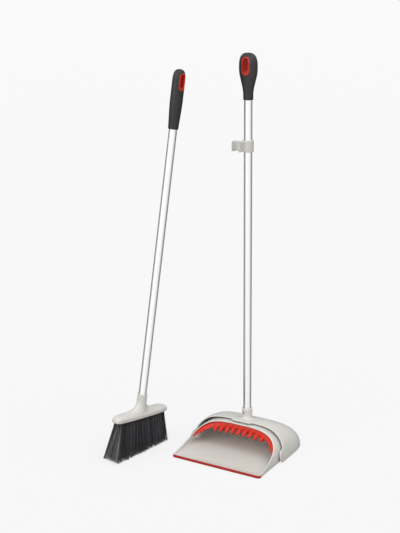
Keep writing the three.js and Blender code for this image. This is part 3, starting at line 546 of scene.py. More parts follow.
def rolled_edge(outer, inner, steps, bulge=0.9, most=2.3):
    """Half turns from the outer skin's edge to the inner one's: m + h cos a + forward sin a. The two edges may
    be far apart along the rim, so the bulge is limited."""
    forward = outer[0] - outer[1]
    forward /= np.linalg.norm(forward, axis=-1, keepdims=True)
    middle, half = (outer[0] + inner[0]) / 2, (outer[0] - inner[0]) / 2
    size = np.minimum(np.linalg.norm(half, axis=-1, keepdims=True), most) * bulge
    turn = np.linspace(0, np.pi, steps + 2)[1:-1, None, None]
    return middle + half * np.cos(turn) + forward * size * np.sin(turn)


print("ray helpers ready")

# %% [markdown]
# ## The hood
#
# The hood is one thin moulding, 2.2 mm thick. Its front edge leans back towards the crown, where a short tongue
# covers the scoop's rim, and ends on each side in a round ear about the pivot. The socket for the pole is a
# collar whose foot flares into the crown.

# %% The hood's shell
WALL = 2.2
PIVOT_Y, PIVOT_Z, EAR_RADIUS = -46.5, 14.5, 14.5
TONGUE_HALF_WIDTH, TONGUE_Y = 25.0, -31.0
EDGE_TOP_Y, EDGE_LEAN = -22, 0.47
HOOD_CENTRE = np.array([0.0, -25.0, 0.0])


def hood_edge(x, z):
    """The leaning edge -22 - 0.47 (69.2 - z), brought forward at the tongue and round the ears."""
    edge = EDGE_TOP_Y - EDGE_LEAN * (HOOD["height"] - z)
    tongue = smooth(TONGUE_HALF_WIDTH + 1.5, TONGUE_HALF_WIDTH - 1.5, np.abs(x)) * smooth(45, 60, z)
    edge = edge + tongue * (np.minimum(TONGUE_Y, edge) - edge)
    lift = np.clip(np.abs(z - PIVOT_Z) / EAR_RADIUS, 0, 1)
    ear = PIVOT_Y - EAR_RADIUS * np.sqrt(1 - lift**2) + 40 * smooth(0.93, 1.0, lift) * (lift > 0.93)
    return np.minimum(edge, ear)


around = np.linspace(0, np.pi, 300)
outer, inner = [open_skin(around, 64, hood_edge, lambda a, o: dome_skin(a, o, HOOD_CENTRE, HOOD, inset))
                for inset in (0.0, WALL)]
hood_grid = np.concatenate([outer[::-1], rolled_edge(outer, inner, 5), inner])
half = hood_grid.shape[0] // 2 + 1
feet = [np.stack([hood_grid[:half, c], hood_grid[::-1][:half, c]], axis=1) for c in (0, -1)]
piece("hood", [(hood_grid, False), (feet[0], False), (feet[1], False)], shell, "pan_frame",
      nodes=["pan_hood"], edge=50)

# %% [markdown]
# ## Cutting a hole
#
# A round hole through a curved wall is the one job that is left to Blender's Boolean modifier. The result is
# kept as the piece's own mesh, and the cutter is removed.


# %% A hole through a piece
def pierced(thing, cutter_grid, edge=35.0, stance=None):
    """Takes a closed cutter, given as a grid of millimetre points, out of a piece."""
    faces = grid_faces(*cutter_grid.shape[:2], 0, True)
    points = cutter_grid.reshape(-1, 3) * MM
    if stance is not None:
        points = points @ stance[0].T + stance[1]
    mesh = bpy.data.meshes.new("cutter")
    mesh.from_pydata(points.tolist(), [], faces.tolist())
    weld(mesh)
    cutter = bpy.data.objects.new("cutter", mesh)
    bpy.context.collection.objects.link(cutter)
    cut = thing.modifiers.new("hole", "BOOLEAN")
    cut.operation, cut.solver, cut.object = "DIFFERENCE", "EXACT", cutter
    bpy.context.view_layer.update()
    holed = bpy.data.meshes.new_from_object(thing.evaluated_get(bpy.context.evaluated_depsgraph_get()))
    thing.modifiers.clear()
    thing.data = holed
    holed.polygons.foreach_set("use_smooth", np.ones(len(holed.polygons), bool))
    holed.set_sharp_from_angle(angle=math.radians(edge))
    bpy.data.objects.remove(cutter)
    print(thing.name, "has a hole;", len(holed.polygons), "faces")


def level_heading(degrees):
    """Unit vectors along a level heading and to its left: (cos h, sin h, 0) and (-sin h, cos h, 0)."""
    h = math.radians(degrees)
    return np.array([math.cos(h), math.sin(h), 0]), np.array([-math.sin(h), math.cos(h), 0])


def aimed_bar(radius, near, far, heading, height, steps=32):
    """A closed round bar along a level heading: c + r (cos a, sin a) on rings from near to far."""
    along, side = level_heading(heading)
    angle = np.linspace(0, 2 * np.pi, steps, endpoint=False)
    ring = radius * (np.cos(angle)[:, None] * side + np.sin(angle)[:, None] * np.array([0, 0, 1.0]))
    rings = [near * along + ring * 0, near * along + ring, far * along + ring, far * along + ring * 0]
    return np.stack(rings) + np.array([0, 0, height])


print("hole helpers ready")

# %% The socket on the hood
SOCKET_RADIUS, SOCKET_TOP, POLE_RADIUS = 12.4, 93.5, 9.5
BORE = POLE_RADIUS + 0.3
FLARE, FLARE_HEIGHT, SEAT_DEPTH = 6.5, 9.0, 1.4
BUTTON_RADIUS, HOLE_GAP, HOLE_REACH = 3.5, 0.4, (5.0, 20.0)
PAN_BUTTON_HEADING, PAN_BUTTON_Z = -105.0, 83.5
spin = np.linspace(0, 2 * np.pi, 96, endpoint=False)
mouth = [(BORE, -0.9), (BORE + 0.3, -0.3), (BORE + 0.9, 0.0), (SOCKET_RADIUS - 1.0, 0.0),
         (SOCKET_RADIUS - 0.3, -0.3), (SOCKET_RADIUS, -1.0), (SOCKET_RADIUS, -5.5), (SOCKET_RADIUS, -13.5)]
rings = [turned([(radius, SOCKET_TOP + down)], 96)[0] for radius, down in mouth]
for share in np.linspace(0, 1, 12):
    radius = SOCKET_RADIUS + FLARE * share**1.5
    x, y = radius * np.cos(spin), radius * np.sin(spin)
    rise = FLARE_HEIGHT * (1 - share) ** 2.4
    rings.append(np.stack([x, y, dome_top(x, y, HOOD) + rise - 0.15 * share], axis=-1))
for radius in (SOCKET_RADIUS + FLARE, BORE):
    x, y = radius * np.cos(spin), radius * np.sin(spin)
    rings.append(np.stack([x, y, dome_top(x, y, HOOD) - SEAT_DEPTH], axis=-1))
rings.append(rings[0])
socket = piece("hood_socket", [(np.stack(rings), True)], shell, "pan_frame", edge=40)
hole = aimed_bar(BUTTON_RADIUS + HOLE_GAP, *HOLE_REACH, PAN_BUTTON_HEADING, PAN_BUTTON_Z)
pierced(socket, hole)

# %% [markdown]
# ## The scoop
#
# The scoop nests in the hood and is open at the front. Its floor rises a little behind the rubber lip, and wall
# and floor meet in a soft round, so the light runs over it without a line. The rim is rolled slightly thicker
# than the wall, which is what catches the light along it.

# %% The scoop's skins
LIP_Y, LIP_CORNER, LIP_BITE = -156.0, 6.0, 5.2
SCOOP_FLOOR, SILL_RISE = 2.4, 2.0
RIM = np.array([(-105, 14), (-68, 25), (-44, 51)], float)
RIM_START = np.array([LIP_Y, 4.4])
SCOOP_CENTRE = np.array([0.0, -40.0, 14.0])


def rim_curve(count=120):
    """The rim from the side: a cubic Bezier curve from the lip, then straight up over the brow."""
    t = np.linspace(0, 1, count)[:, None]
    p0, p1, p2, p3 = RIM_START, *RIM
    curve = (1 - t) ** 3 * p0 + 3 * t * (1 - t) ** 2 * p1 + 3 * t**2 * (1 - t) * p2 + t**3 * p3
    return np.concatenate([curve, [(-33, 66.5), (-22, 82)]])


RIM_POINTS = rim_curve()


def scoop_edge(x, z):
    """Where the scoop's open edge is: the front line with its round corners, or the rim above it."""
    over = np.clip(np.abs(x) - (SCOOP["half_width"] - LIP_CORNER), 0, LIP_CORNER)
    front = LIP_Y + LIP_BITE + LIP_CORNER - np.sqrt(LIP_CORNER**2 - over**2)
    return np.maximum(front, np.interp(z, RIM_POINTS[:, 1], RIM_POINTS[:, 0]))


def scoop_skin(inset, floor, crease):
    def skin(a, o):
        return dome_skin(a, o, SCOOP_CENTRE, SCOOP, inset, floor, crease)

    around = np.linspace(0, 2 * np.pi, 480, endpoint=False)
    return open_skin(around, 80, scoop_edge, skin)


outer = scoop_skin(0.0, 0.0, 70.0)
inner = scoop_skin(WALL, SCOOP_FLOOR, 13.0)
sill = smooth(-136, -150, inner[..., 1]) * smooth(20, 6, inner[..., 2])
inner[..., 2] += SILL_RISE * sill
scoop_grid = np.concatenate([outer[::-1], rolled_edge(outer, inner, 6, 1.15), inner])
piece("scoop", [(scoop_grid, True)], shell, "pan", nodes=["pan_tray"], edge=60)

# %% [markdown]
# ## Rubber lip and comb
#
# The lip is a dark red strip that wraps the front edge, so that fine dust rides over it. The comb is a brighter
# red strip under the brow, with nine stubby teeth that clean the broom's bristles.

# %% The lip
LIP_INSET, LIP_HEIGHT, LIP_SECTION = 2.0, 2.65, (2.5, 3.0)
half_width = SCOOP["half_width"]
quarter = np.linspace(0, np.pi / 2, 14)
straight = half_width - LIP_CORNER
left = np.stack([-straight - (LIP_CORNER - LIP_INSET) * np.cos(quarter),
                 LIP_Y + LIP_CORNER - (LIP_CORNER - LIP_INSET) * np.sin(quarter)], axis=-1)
right = left[::-1] * (-1, 1)
run_back = np.linspace(LIP_Y + 15, LIP_Y + LIP_CORNER, 8, endpoint=False)
side = np.full(8, half_width - LIP_INSET)
front = np.stack([np.linspace(-straight, straight, 90)[1:-1], np.full(88, LIP_Y + LIP_INSET)], axis=-1)
line = [np.stack([-side, run_back], -1), left, front, right, np.stack([side, run_back[::-1]], -1)]
line = np.concatenate(line)
path = np.concatenate([line, np.full((len(line), 1), LIP_HEIGHT)], axis=1)
tangent = np.gradient(path, axis=0)
tangent /= np.linalg.norm(tangent, axis=-1, keepdims=True)
up = np.tile([0.0, 0.0, 1.0], (len(path), 1))
across = np.cross(tangent, up)
ends = np.minimum(np.arange(len(path)), np.arange(len(path))[::-1])
round_end = np.sqrt(1 - (1 - np.clip(ends / 6, 0, 1)) ** 2)[:, None, None]
section = superellipse(*LIP_SECTION, 3.2, 24)[None] * np.concatenate([round_end, round_end], axis=-1)
section[..., 1] += (1 - round_end[..., 0]) * 2.0
lip_grid = swept(path, across, up, section)
piece("scoop_lip", [(lip_grid, True)], lip_rubber, "pan", nodes=["pan_lip"], edge=60)


# %% The comb's strip
def arch_at(around, y, inset):
    """The scoop's arch at y: rays in its own plane from the scoop's centre."""
    d = np.stack([np.cos(around), np.zeros_like(around), np.sin(around)], axis=-1)
    centre = np.stack([np.zeros_like(y), y, np.full_like(y, SCOOP_CENTRE[2])], axis=-1)
    zero = np.zeros(d.shape[:-1])
    t = halved(zero, zero + 300, lambda t: dome_rule(centre + t[..., None] * d, SCOOP, inset) > 0)
    return centre + t[..., None] * d


COMB_SETBACK, COMB_DEPTH, COMB_THICKNESS = 1.0, 20.0, 18.0
COMB_SEAT = WALL + 0.3
low_turn = math.atan2(11.0, 112.0)
turn = np.linspace(low_turn, np.pi - low_turn, 220)[:, None]
rough = arch_at(turn, np.full_like(turn, SCOOP_CENTRE[1]), COMB_SEAT)
rim_at = np.interp(rough[..., 2], RIM_POINTS[:, 1], RIM_POINTS[:, 0])
near_end = np.minimum(turn - low_turn, np.pi - low_turn - turn)
full = np.clip(near_end / 0.12, 0.0008, 1) ** 0.5
thin = 0.55 + 0.45 * smooth(0.0, 0.5, near_end)
loop = np.linspace(0, 2 * np.pi, 20, endpoint=False)[None]
c, s = np.cos(loop), np.sin(loop)
out = np.sign(c) * np.abs(c) ** 0.7
thick = np.sign(s) * np.abs(s) ** 0.7
y = rim_at + COMB_SETBACK + COMB_DEPTH / 2 * (1 + out) * full
inset = COMB_SEAT + COMB_THICKNESS / 2 * (1 - thick) * np.minimum(full, 1) * thin
strip = arch_at(np.broadcast_to(turn, y.shape), y, inset)
print("comb strip", strip.shape)

# %% The comb's teeth
TEETH, PITCH = 9, 15.7
ROOT_Y, ROOT_DROP, TIP_Y, TIP_DROP = -27.0, 10.0, -52.5, 20.0
ROOT_RADIUS, TOOTH_TAPER = 7.4, 3.6
crown = SCOOP["height"] - COMB_SEAT


def tooth(x):
    """A finger from root to tip: rings of radius r(t) about root + t (tip - root), closed by a round tip."""
    drop = crown * (1 - (1 - (abs(x) / SCOOP["half_width"]) ** SCOOP["arch_x"]) ** (1 / SCOOP["arch_z"]))
    root = np.array([x, ROOT_Y, crown - ROOT_DROP - drop])
    tip = np.array([x, TIP_Y, crown - TIP_DROP - drop])
    along = (tip - root) / np.linalg.norm(tip - root)
    side = np.array([1.0, 0.0, 0.0])
    lift = np.cross(side, along)
    share = np.sin(np.linspace(0, np.pi / 2, 16))[:, None, None]
    radius = (ROOT_RADIUS - TOOTH_TAPER * share) * np.sqrt(np.clip((1.002 - share) / 0.20, 0, 1))
    angle = np.linspace(0, 2 * np.pi, 24, endpoint=False)[None, :, None]
    round_it = np.cos(angle) * side + np.sin(angle) * lift
    fingers = root + (tip - root) * share + radius * round_it
    return np.concatenate([np.broadcast_to(root, (1, 24, 3)), fingers])


comb_grids = [(strip, True), *((tooth((k - (TEETH - 1) / 2) * PITCH), True) for k in range(TEETH))]
comb = piece("scoop_comb", comb_grids, red_rubber, "pan", nodes=["pan_comb"], edge=180)


# %% Fusing overlapping grids
def fused(thing, voxel, relax):
    """Melts a piece's overlapping shells into one skin on cubes of the voxel size, in mm, then relaxes it."""
    melt = thing.modifiers.new("melt", "REMESH")
    melt.mode, melt.voxel_size, melt.use_smooth_shade = "VOXEL", voxel * MM, True
    ease = thing.modifiers.new("ease", "SMOOTH")
    ease.factor, ease.iterations = 0.5, relax
    bpy.context.view_layer.update()
    skin = bpy.data.meshes.new_from_object(thing.evaluated_get(bpy.context.evaluated_depsgraph_get()))
    thing.modifiers.clear()
    thing.data = skin
    print(thing.name, "fused:", len(skin.polygons), "faces")


fused(comb, 0.65, 2)

# %% [markdown]
# ## Pins, poles and buttons
#
# Everything round is a lathe profile. The pivot pins are moulded with the hood's plastic and have a hollow
# head, the poles are plain satin tube, and each is held in its socket by a domed steel button.

# %% Pivot pins
PIN_FACE = 108.2
PIN_PROFILE = [(0, 2.4), (2.7, 2.4), (3.0, 2.0), (3.1, 0.5), (3.5, 0.0), (7.2, 0.0), (7.9, 0.5), (8.0, 1.2),
               (8.0, 6.4), (4.0, 6.4), (4.0, 12.0), (3.6, 12.6), (0, 12.6)]
for name, sign in (("pin_left", -1), ("pin_right", 1)):
    profile = [(radius, sign * (PIN_FACE + depth)) for radius, depth in PIN_PROFILE]
    pin_grid = turned(profile, 40, (PIVOT_Y, PIVOT_Z), "X")
    piece(name, [(pin_grid, True)], shell, "pan_frame", nodes=[f"pivot_{name}"], edge=40)


# %% A pole
TUBE_WALL, END_ROUND = 1.1, 0.4


def pole(name, foot, top, body, node, stance=None):
    """A tube: up the bore, over the rounded ends and down the outside. The wrap map is angle by height."""
    bore = POLE_RADIUS - TUBE_WALL
    heights = np.linspace(foot + END_ROUND, top - END_ROUND, 40)
    outside = [(POLE_RADIUS, h) for h in heights]
    profile = [(bore, foot + END_ROUND), (bore + 0.3, foot), (POLE_RADIUS - 0.3, foot), *outside,
               (POLE_RADIUS - 0.3, top), (bore + 0.3, top), (bore, top - END_ROUND), (bore, foot + END_ROUND)]
    grid = turned(profile, 72)
    made = piece(name, [(grid, True)], aluminium, body, [node], 35, stance=stance)
    place = np.zeros(len(made.data.vertices) * 3)
    made.data.vertices.foreach_get("co", place)
    local = place.reshape(-1, 3) if stance is None else (place.reshape(-1, 3) - stance[1]) @ stance[0]
    angle = np.arctan2(local[:, 1], local[:, 0]) / (2 * np.pi) + 0.5
    corner = np.zeros(len(made.data.loops), int)
    made.data.loops.foreach_get("vertex_index", corner)
    uv = np.stack([angle[corner], local[corner, 2]], axis=-1)
    sizes = np.zeros(len(made.data.polygons), int)
    made.data.polygons.foreach_get("loop_total", sizes)
    face = np.repeat(np.arange(len(sizes)), sizes)
    highest = np.zeros(len(sizes))
    np.maximum.at(highest, face, uv[:, 0])
    uv[:, 0] += (highest[face] - uv[:, 0] > 0.5)
    wrap = made.data.uv_layers.new(name="wrap")
    wrap.data.foreach_set("uv", uv.astype(np.float32).ravel())
    return made


PAN_POLE_FOOT, PAN_POLE_TOP = 67.1, 882.0
pole("pan_tube", PAN_POLE_FOOT, PAN_POLE_TOP, "pan_frame", "pan_pole")


# %% A snap button
NOSE_RISE, FLANGE_RADIUS, FLANGE_IN, FLANGE_OUT = 1.2, 4.8, 5.6, 6.6


def snap_button(name, heading, height, face, body, node, stance=None):
    """A button pointing along a level heading: a flange, a stem and a nose domed as a quarter ellipse."""
    along, side = level_heading(heading)
    turns = np.linspace(0, np.pi / 2, 8)
    dome = [(BUTTON_RADIUS * math.cos(a), face - NOSE_RISE * (1 - math.sin(a))) for a in turns]
    profile = np.array([(0, FLANGE_IN), (FLANGE_RADIUS, FLANGE_IN), (FLANGE_RADIUS, FLANGE_OUT),
                        (BUTTON_RADIUS, FLANGE_OUT), *dome])
    angle = np.linspace(0, 2 * np.pi, 32, endpoint=False)
    around = np.cos(angle)[:, None] * side + np.sin(angle)[:, None] * np.array([0, 0, 1.0])
    grid = profile[:, 1, None, None] * along + profile[:, 0, None, None] * around + np.array([0, 0, height])
    return piece(name, [(grid, True)], steel, body, [node], 35, stance=stance)


snap_button("pan_button", PAN_BUTTON_HEADING, PAN_BUTTON_Z, 11.9, "pan_button", "pan_snap_button")

# %% [markdown]
# ## Grips
#
# Each grip is a soft skin over a hard core. It starts round at the pole, swells to an oval and closes in a full
# dome. A slot goes through it for hanging, lined with a bright red sleeve whose ends follow the grip.

# %% The form of a grip
PAN_GRIP = {"top": 943.5, "length": 104.5, "base": 11.4, "width": 22.4, "depth": 14.6, "swell": (0.1, 0.66),
            "dome": 0.69, "slot": (41.0, 20.0), "drop": 28.5}
BROOM_GRIP = {"top": 914.8, "length": 135.0, "base": 11.2, "width": 16.6, "depth": 13.0, "swell": (-0.15, 0.5),
              "dome": 0.8, "slot": (39.0, 19.0), "drop": 28.0}


def grip_size(grip, z):
    """Half-width and half-depth at a height: base + (full - base) swell, times the dome (1 - d^p)^(1/p)."""
    t = np.clip(1 - (grip["top"] - z) / grip["length"], 0, 1)
    swell = smooth(*grip["swell"], t)
    share = np.clip((t - grip["dome"]) / (1 - grip["dome"]), 0, 1)
    close = (1 - share**2.8) ** (1 / 2.8)
    foot = 1 - 0.05 * (1 - np.clip(t / 0.012, 0, 1)) ** 2
    width = grip["base"] + (grip["width"] - grip["base"]) * swell
    depth = grip["base"] + (grip["depth"] - grip["base"]) * swell
    return width * close * foot, depth * close * foot


def slot_outline(grip, shrink, count):
    """A slot with round ends, counter-clockwise in x and z, with its outward directions."""
    length, width = grip["slot"]
    radius, straight = width / 2 - shrink, (length - width) / 2
    angle = np.linspace(0, 2 * np.pi, count, endpoint=False)
    out = np.stack([np.cos(angle), np.sin(angle)], axis=-1)
    shift = straight * np.clip(np.sin(angle) * 8, -1, 1)
    point = radius * out + np.stack([np.zeros(count), shift], axis=-1)
    return point + (0, grip["top"] - grip["drop"]), out


def grip_depth(grip, point):
    """How far the grip's face stands from its middle plane at x, z: depth * sqrt(1 - (x / width)^2)."""
    width, depth = grip_size(grip, point[..., 1])
    return depth * np.sqrt(np.clip(1 - (point[..., 0] / width) ** 2, 0, 1))


print("pan grip", [round(float(v), 1) for v in grip_size(PAN_GRIP, 900.0)])


# %% Skin and sleeve
SLEEVE_WALL, SLEEVE_PROUD, SLOT_GAP, CUT_REACH = 2.6, 0.7, 0.2, 30


def grip_skin(name, grip, body, node, pole_top, stance=None):
    """The skin: oval rings up to the closed top, and a bore for the pole below."""
    rise = np.sin(np.linspace(0, np.pi / 2, 90))
    heights = grip["top"] - grip["length"] * (1 - np.concatenate([[0, 0.004, 0.008, 0.012], rise[1:]]))
    heights = np.unique(np.clip(heights, None, grip["top"] - 0.002))
    width, depth = grip_size(grip, heights)
    angle = np.linspace(0, 2 * np.pi, 96, endpoint=False)
    rings = np.stack([width[:, None] * np.cos(angle), depth[:, None] * np.sin(angle),
                      np.repeat(heights[:, None], 96, axis=1)], axis=-1)
    inside = turned([(0, pole_top + 0.5), (BORE, pole_top + 0.5), (BORE, heights[0])], 96)
    top = np.broadcast_to(np.array([0, 0, grip["top"]]), (1, 96, 3))
    grid = np.concatenate([inside, rings, top])
    made = piece(name, [(grid, True)], grip_rubber, body, [node], 50, stance=stance)
    outline = slot_outline(grip, -SLOT_GAP, 96)[0]
    reach = CUT_REACH * np.array([-1, -1, 1, 1])[:, None]
    size = np.array([0, 1, 1, 0])[:, None, None]
    middle = np.array([0, grip["top"] - grip["drop"]])
    flat = middle + (outline - middle) * size
    cutter = np.stack([flat[..., 0], np.broadcast_to(reach, flat.shape[:2]), flat[..., 1]], axis=-1)
    pierced(made, cutter, 50, stance)
    return made


def hang_sleeve(name, grip, body, node, stance=None):
    """The sleeve: at each point of the slot, a section that goes through the grip and rolls over each face."""
    outline, out = slot_outline(grip, 0.0, 120)
    wall = SLEEVE_WALL
    section = [(-wall, 0.0), (-wall, 0.55), (-wall, 1.0), (-wall + 0.2, 1.5), (-wall + 0.7, 1.85),
               (-1.3, 2.0), (-0.7, 1.9), (-0.2, 1.5), (0.0, 1.0), (-0.1, 0.8), (-0.1, 0.0)]
    loops = []
    for side in (1, -1):
        half = section if side == 1 else section[::-1]
        for shift, level in half:
            point = outline + out * shift
            face = grip_depth(grip, outline + out * shift)
            y = np.where(level < 1, face * level, face + (level - 1) * SLEEVE_PROUD * 0.7)
            loops.append(np.stack([point[:, 0], -side * y, point[:, 1]], axis=-1))
    loops.append(loops[0])
    return piece(name, [(np.stack(loops), True)], red_rubber, body, [node], 60, stance=stance)


grip_skin("pan_grip", PAN_GRIP, "pan_frame", "pan_grip_skin", PAN_POLE_TOP)
hang_sleeve("pan_hang_sleeve", PAN_GRIP, "pan_frame", "pan_hang_ring")

# %% [markdown]
# ## The storage clip
#
# A closed ring turns on the pan's pole, and an open jaw beside it takes the broom's pole. Both are one
# rectangular section with rounded corners, carried round a circle or part of one.

# %% Clip
CLIP_Z, CLIP_HEIGHT, ARM_HEIGHT = 721.0, 26.4, 23.0
CLIP_HEADING, CLIP_CENTRES, JAW_BORE, JAW_WALL = 228.0, 27.0, 9.3, 2.8
MOUTH_TURN, MOUTH_HALF = 35.0, 58.0
RING_RADIUS, RING_WALL, LINK_HALF_WIDTH = 11.4, 3.2, 4.6
LINK_RINGS = ((11.0, 0), (11.0, 1), (12.6, 0.94), (14.0, 0.8), (15.6, 0.8), (17.4, 0.94), (18.4, 1), (18.4, 0))
middle_z = CLIP_Z + CLIP_HEIGHT / 2
ring_section = superellipse(RING_WALL / 2, CLIP_HEIGHT / 2, 9, 40) + (RING_RADIUS, middle_z)
ring_grid = turned(np.concatenate([ring_section, ring_section[:1]]), 80)
toward, link_side = (v[:2] for v in level_heading(CLIP_HEADING))
jaw_at = CLIP_CENTRES * toward
start = math.radians(CLIP_HEADING + MOUTH_TURN + MOUTH_HALF)
sweep = np.linspace(start, start + math.radians(360 - 2 * MOUTH_HALF), 70)
inset_end = np.minimum(np.arange(70), np.arange(70)[::-1])
end_round = np.sqrt(1 - (1 - np.clip(inset_end / 4, 0, 1)) ** 2)[:, None]
jaw_section = superellipse(JAW_WALL / 2, ARM_HEIGHT / 2, 8, 40)
radius = JAW_BORE + JAW_WALL / 2 + jaw_section[:, 0] * end_round
high = middle_z + jaw_section[:, 1] * (0.9 + 0.1 * end_round)
jaw_grid = np.stack([jaw_at[0] + radius * np.cos(sweep)[:, None], jaw_at[1] + radius * np.sin(sweep)[:, None],
                     high], axis=-1)
link_rings = []
for reach, grow in LINK_RINGS:
    ring = superellipse(LINK_HALF_WIDTH, ARM_HEIGHT / 2 - 0.2, 7, 40) * (grow, min(1, 2 * grow))
    flat = reach * toward + ring[:, :1] * link_side
    link_rings.append(np.concatenate([flat, middle_z + ring[:, 1:]], axis=1))
clip_grids = [(ring_grid, True), (jaw_grid, True), (np.stack(link_rings), True)]
piece("clip", clip_grids, shell, "clip", ["storage_clip"], 40)

# %% [markdown]
# ## The broom
#
# The broom stands on its bristles and leans. It is easiest to model upright, with X along its head, and to turn
# the points into place at the end. The head and its neck are one moulding: every direction from the axis gets
# one curve, from the neck's mouth down its sweep, out along the head's crown and down its side.

# %% Where the broom stands
BROOM_FOOT = np.array([-214.0, -165.0, 0.0]) * MM
LEAN, LEAN_HEADING, HEAD_HEADING = (math.radians(v) for v in (7.9, 53.0, 80.0))
axis = np.array([math.tan(LEAN) * math.cos(LEAN_HEADING), math.tan(LEAN) * math.sin(LEAN_HEADING), 1.0])
axis /= np.linalg.norm(axis)
run = np.array([math.cos(HEAD_HEADING), math.sin(HEAD_HEADING), 0.0])
run -= axis * (run @ axis)
run /= np.linalg.norm(run)
back = np.cross(axis, run)
BROOM = (np.stack([run, back, axis], axis=1), BROOM_FOOT)
print("broom leans", round(math.degrees(LEAN), 1), "degrees; its head runs", np.round(run, 3))

# %% The head's curves
HEAD_BOTTOM, HEAD_HEIGHT, HEAD_LENGTH, HEAD_DEPTH, HEAD_SHIFT = 87.5, 14.0, 88.5, 16.7, -0.5
NECK_TOP, NECK_FLOOR, NECK_RADIUS = 144.0, 108.0, 11.6
CROWN_DROP, FOOT_X, FOOT_Y, BLEND = 8.5, 60.0, 15.5, 2.5


def plan(length, depth, power, count):
    """The head's outline |x/length|^p + |y/depth|^p = 1 and its outward directions, at equal steps round it."""
    fine = superellipse(length, depth, power, 40 * count)
    closed = np.concatenate([fine, fine[:1]])
    run = np.concatenate([[0], np.cumsum(np.linalg.norm(np.diff(closed, axis=0), axis=-1))])
    at = np.linspace(0, run[-1], count, endpoint=False)
    point = np.stack([np.interp(at, run, closed[:, 0]), np.interp(at, run, closed[:, 1])], axis=-1)
    slope = np.roll(point, -1, axis=0) - np.roll(point, 1, axis=0)
    out = np.stack([slope[:, 1], -slope[:, 0]], axis=-1)
    return point, out / np.linalg.norm(out, axis=-1, keepdims=True)


COLUMNS = 260
outline, outward = plan(HEAD_LENGTH, HEAD_DEPTH, 4.2, COLUMNS)
outline = outline + (HEAD_SHIFT, 0)
far = np.linalg.norm(outline, axis=-1)
aim = outline / far[:, None]
share = (np.linspace(0, 1, 90)[:, None]) ** 1.25
distance = NECK_RADIUS + (far - NECK_RADIUS) * share
spot = aim * distance[..., None]
reach_x, reach_y = np.abs(spot[..., 0] - HEAD_SHIFT) / HEAD_LENGTH, np.abs(spot[..., 1]) / HEAD_DEPTH
edge_share = np.clip((reach_x**8 + reach_y**2.6) ** (1 / 2.6), 0, 1)
head_crown = HEAD_BOTTOM + HEAD_HEIGHT
head_top = head_crown - CROWN_DROP * (1 - np.sqrt(1 - edge_share**3.4))
spread = np.sqrt((spot[..., 0] / FOOT_X) ** 2 + (spot[..., 1] / FOOT_Y) ** 2)
neck_spread = NECK_RADIUS * np.sqrt((aim[:, 0] / FOOT_X) ** 2 + (aim[:, 1] / FOOT_Y) ** 2)
climb = np.clip((spread - neck_spread) / (1 - neck_spread), 0, 1)
neck = head_crown - 2 + (NECK_TOP - head_crown - 12) * (1 - climb**0.42) ** 1.35
neck = neck - 40 * np.clip(spread - 0.85, 0, None)
height = BLEND * np.log(np.exp((neck - 100) / BLEND) + np.exp((head_top - 100) / BLEND)) + 100
height = np.where(share > 0.999, head_top, height)
crown_grid = np.concatenate([spot, height[..., None]], axis=-1)
print("head crown spans", round(float(height.min()), 1), "to", round(float(height.max()), 1), "mm")

# %% The head
SIDE_RINGS = ((0.0, 0.75), (0.0, 0.5), (0.0, 0.25), (0.15, 0.1), (0.6, 0.02), (1.2, 0.0), (3.4, 0.0))
BLOCK_SEAT = 7.3


def neck_ring(radius, z):
    """A level ring whose points lie in the same directions as the head's outline."""
    return np.concatenate([radius * aim, np.broadcast_to(np.reshape(z, (-1, 1)), (COLUMNS, 1))], axis=1)


collar = [(0.0, NECK_FLOOR), (BORE, NECK_FLOOR), (BORE, NECK_TOP - 0.9), (BORE + 0.4, NECK_TOP - 0.2),
          (BORE + 0.9, NECK_TOP), (NECK_RADIUS - 0.9, NECK_TOP), (NECK_RADIUS - 0.3, NECK_TOP - 0.3),
          (NECK_RADIUS, NECK_TOP - 1.0)]
rings = [neck_ring(radius, z) for radius, z in collar]
neck_low = crown_grid[0, :, 2]
for part in np.linspace(0, 1, 10)[1:-1]:
    rings.append(neck_ring(NECK_RADIUS, NECK_TOP - 1.0 + (neck_low - NECK_TOP + 1.0) * part))
side_top = crown_grid[-1, :, 2]
low_rings = []
for pull, z_share in SIDE_RINGS:
    level = HEAD_BOTTOM + (side_top - HEAD_BOTTOM) * z_share
    low_rings.append(np.concatenate([outline - outward * pull, level[:, None]], axis=1))
low_rings.append(np.concatenate([low_rings[-1][:, :2], np.full((COLUMNS, 1), HEAD_BOTTOM + BLOCK_SEAT)], axis=1))
low_rings.append(low_rings[-1] * (0, 0, 1))
head_grid = np.concatenate([np.stack(rings), crown_grid, np.stack(low_rings)])
head = piece("head", [(head_grid, True)], shell, "broom", ["broom_head"], 50, stance=BROOM)
BROOM_BUTTON_HEADING, BROOM_BUTTON_Z = -65.0, 129.0
hole = aimed_bar(BUTTON_RADIUS + HOLE_GAP, *HOLE_REACH, BROOM_BUTTON_HEADING, BROOM_BUTTON_Z)
pierced(head, hole, 50, BROOM)

# %% The broom's pole, button and grip
BROOM_POLE_TOP = 856.0
pole("broom_tube", NECK_FLOOR + 0.3, BROOM_POLE_TOP, "broom", "broom_pole", BROOM)
snap_button("broom_button", BROOM_BUTTON_HEADING, BROOM_BUTTON_Z, 11.1, "broom_button",
            "broom_snap_button", BROOM)
grip_skin("broom_grip", BROOM_GRIP, "broom", "broom_grip_skin", BROOM_POLE_TOP, BROOM)
hang_sleeve("broom_hang_sleeve", BROOM_GRIP, "broom", "broom_hang_ring", BROOM)
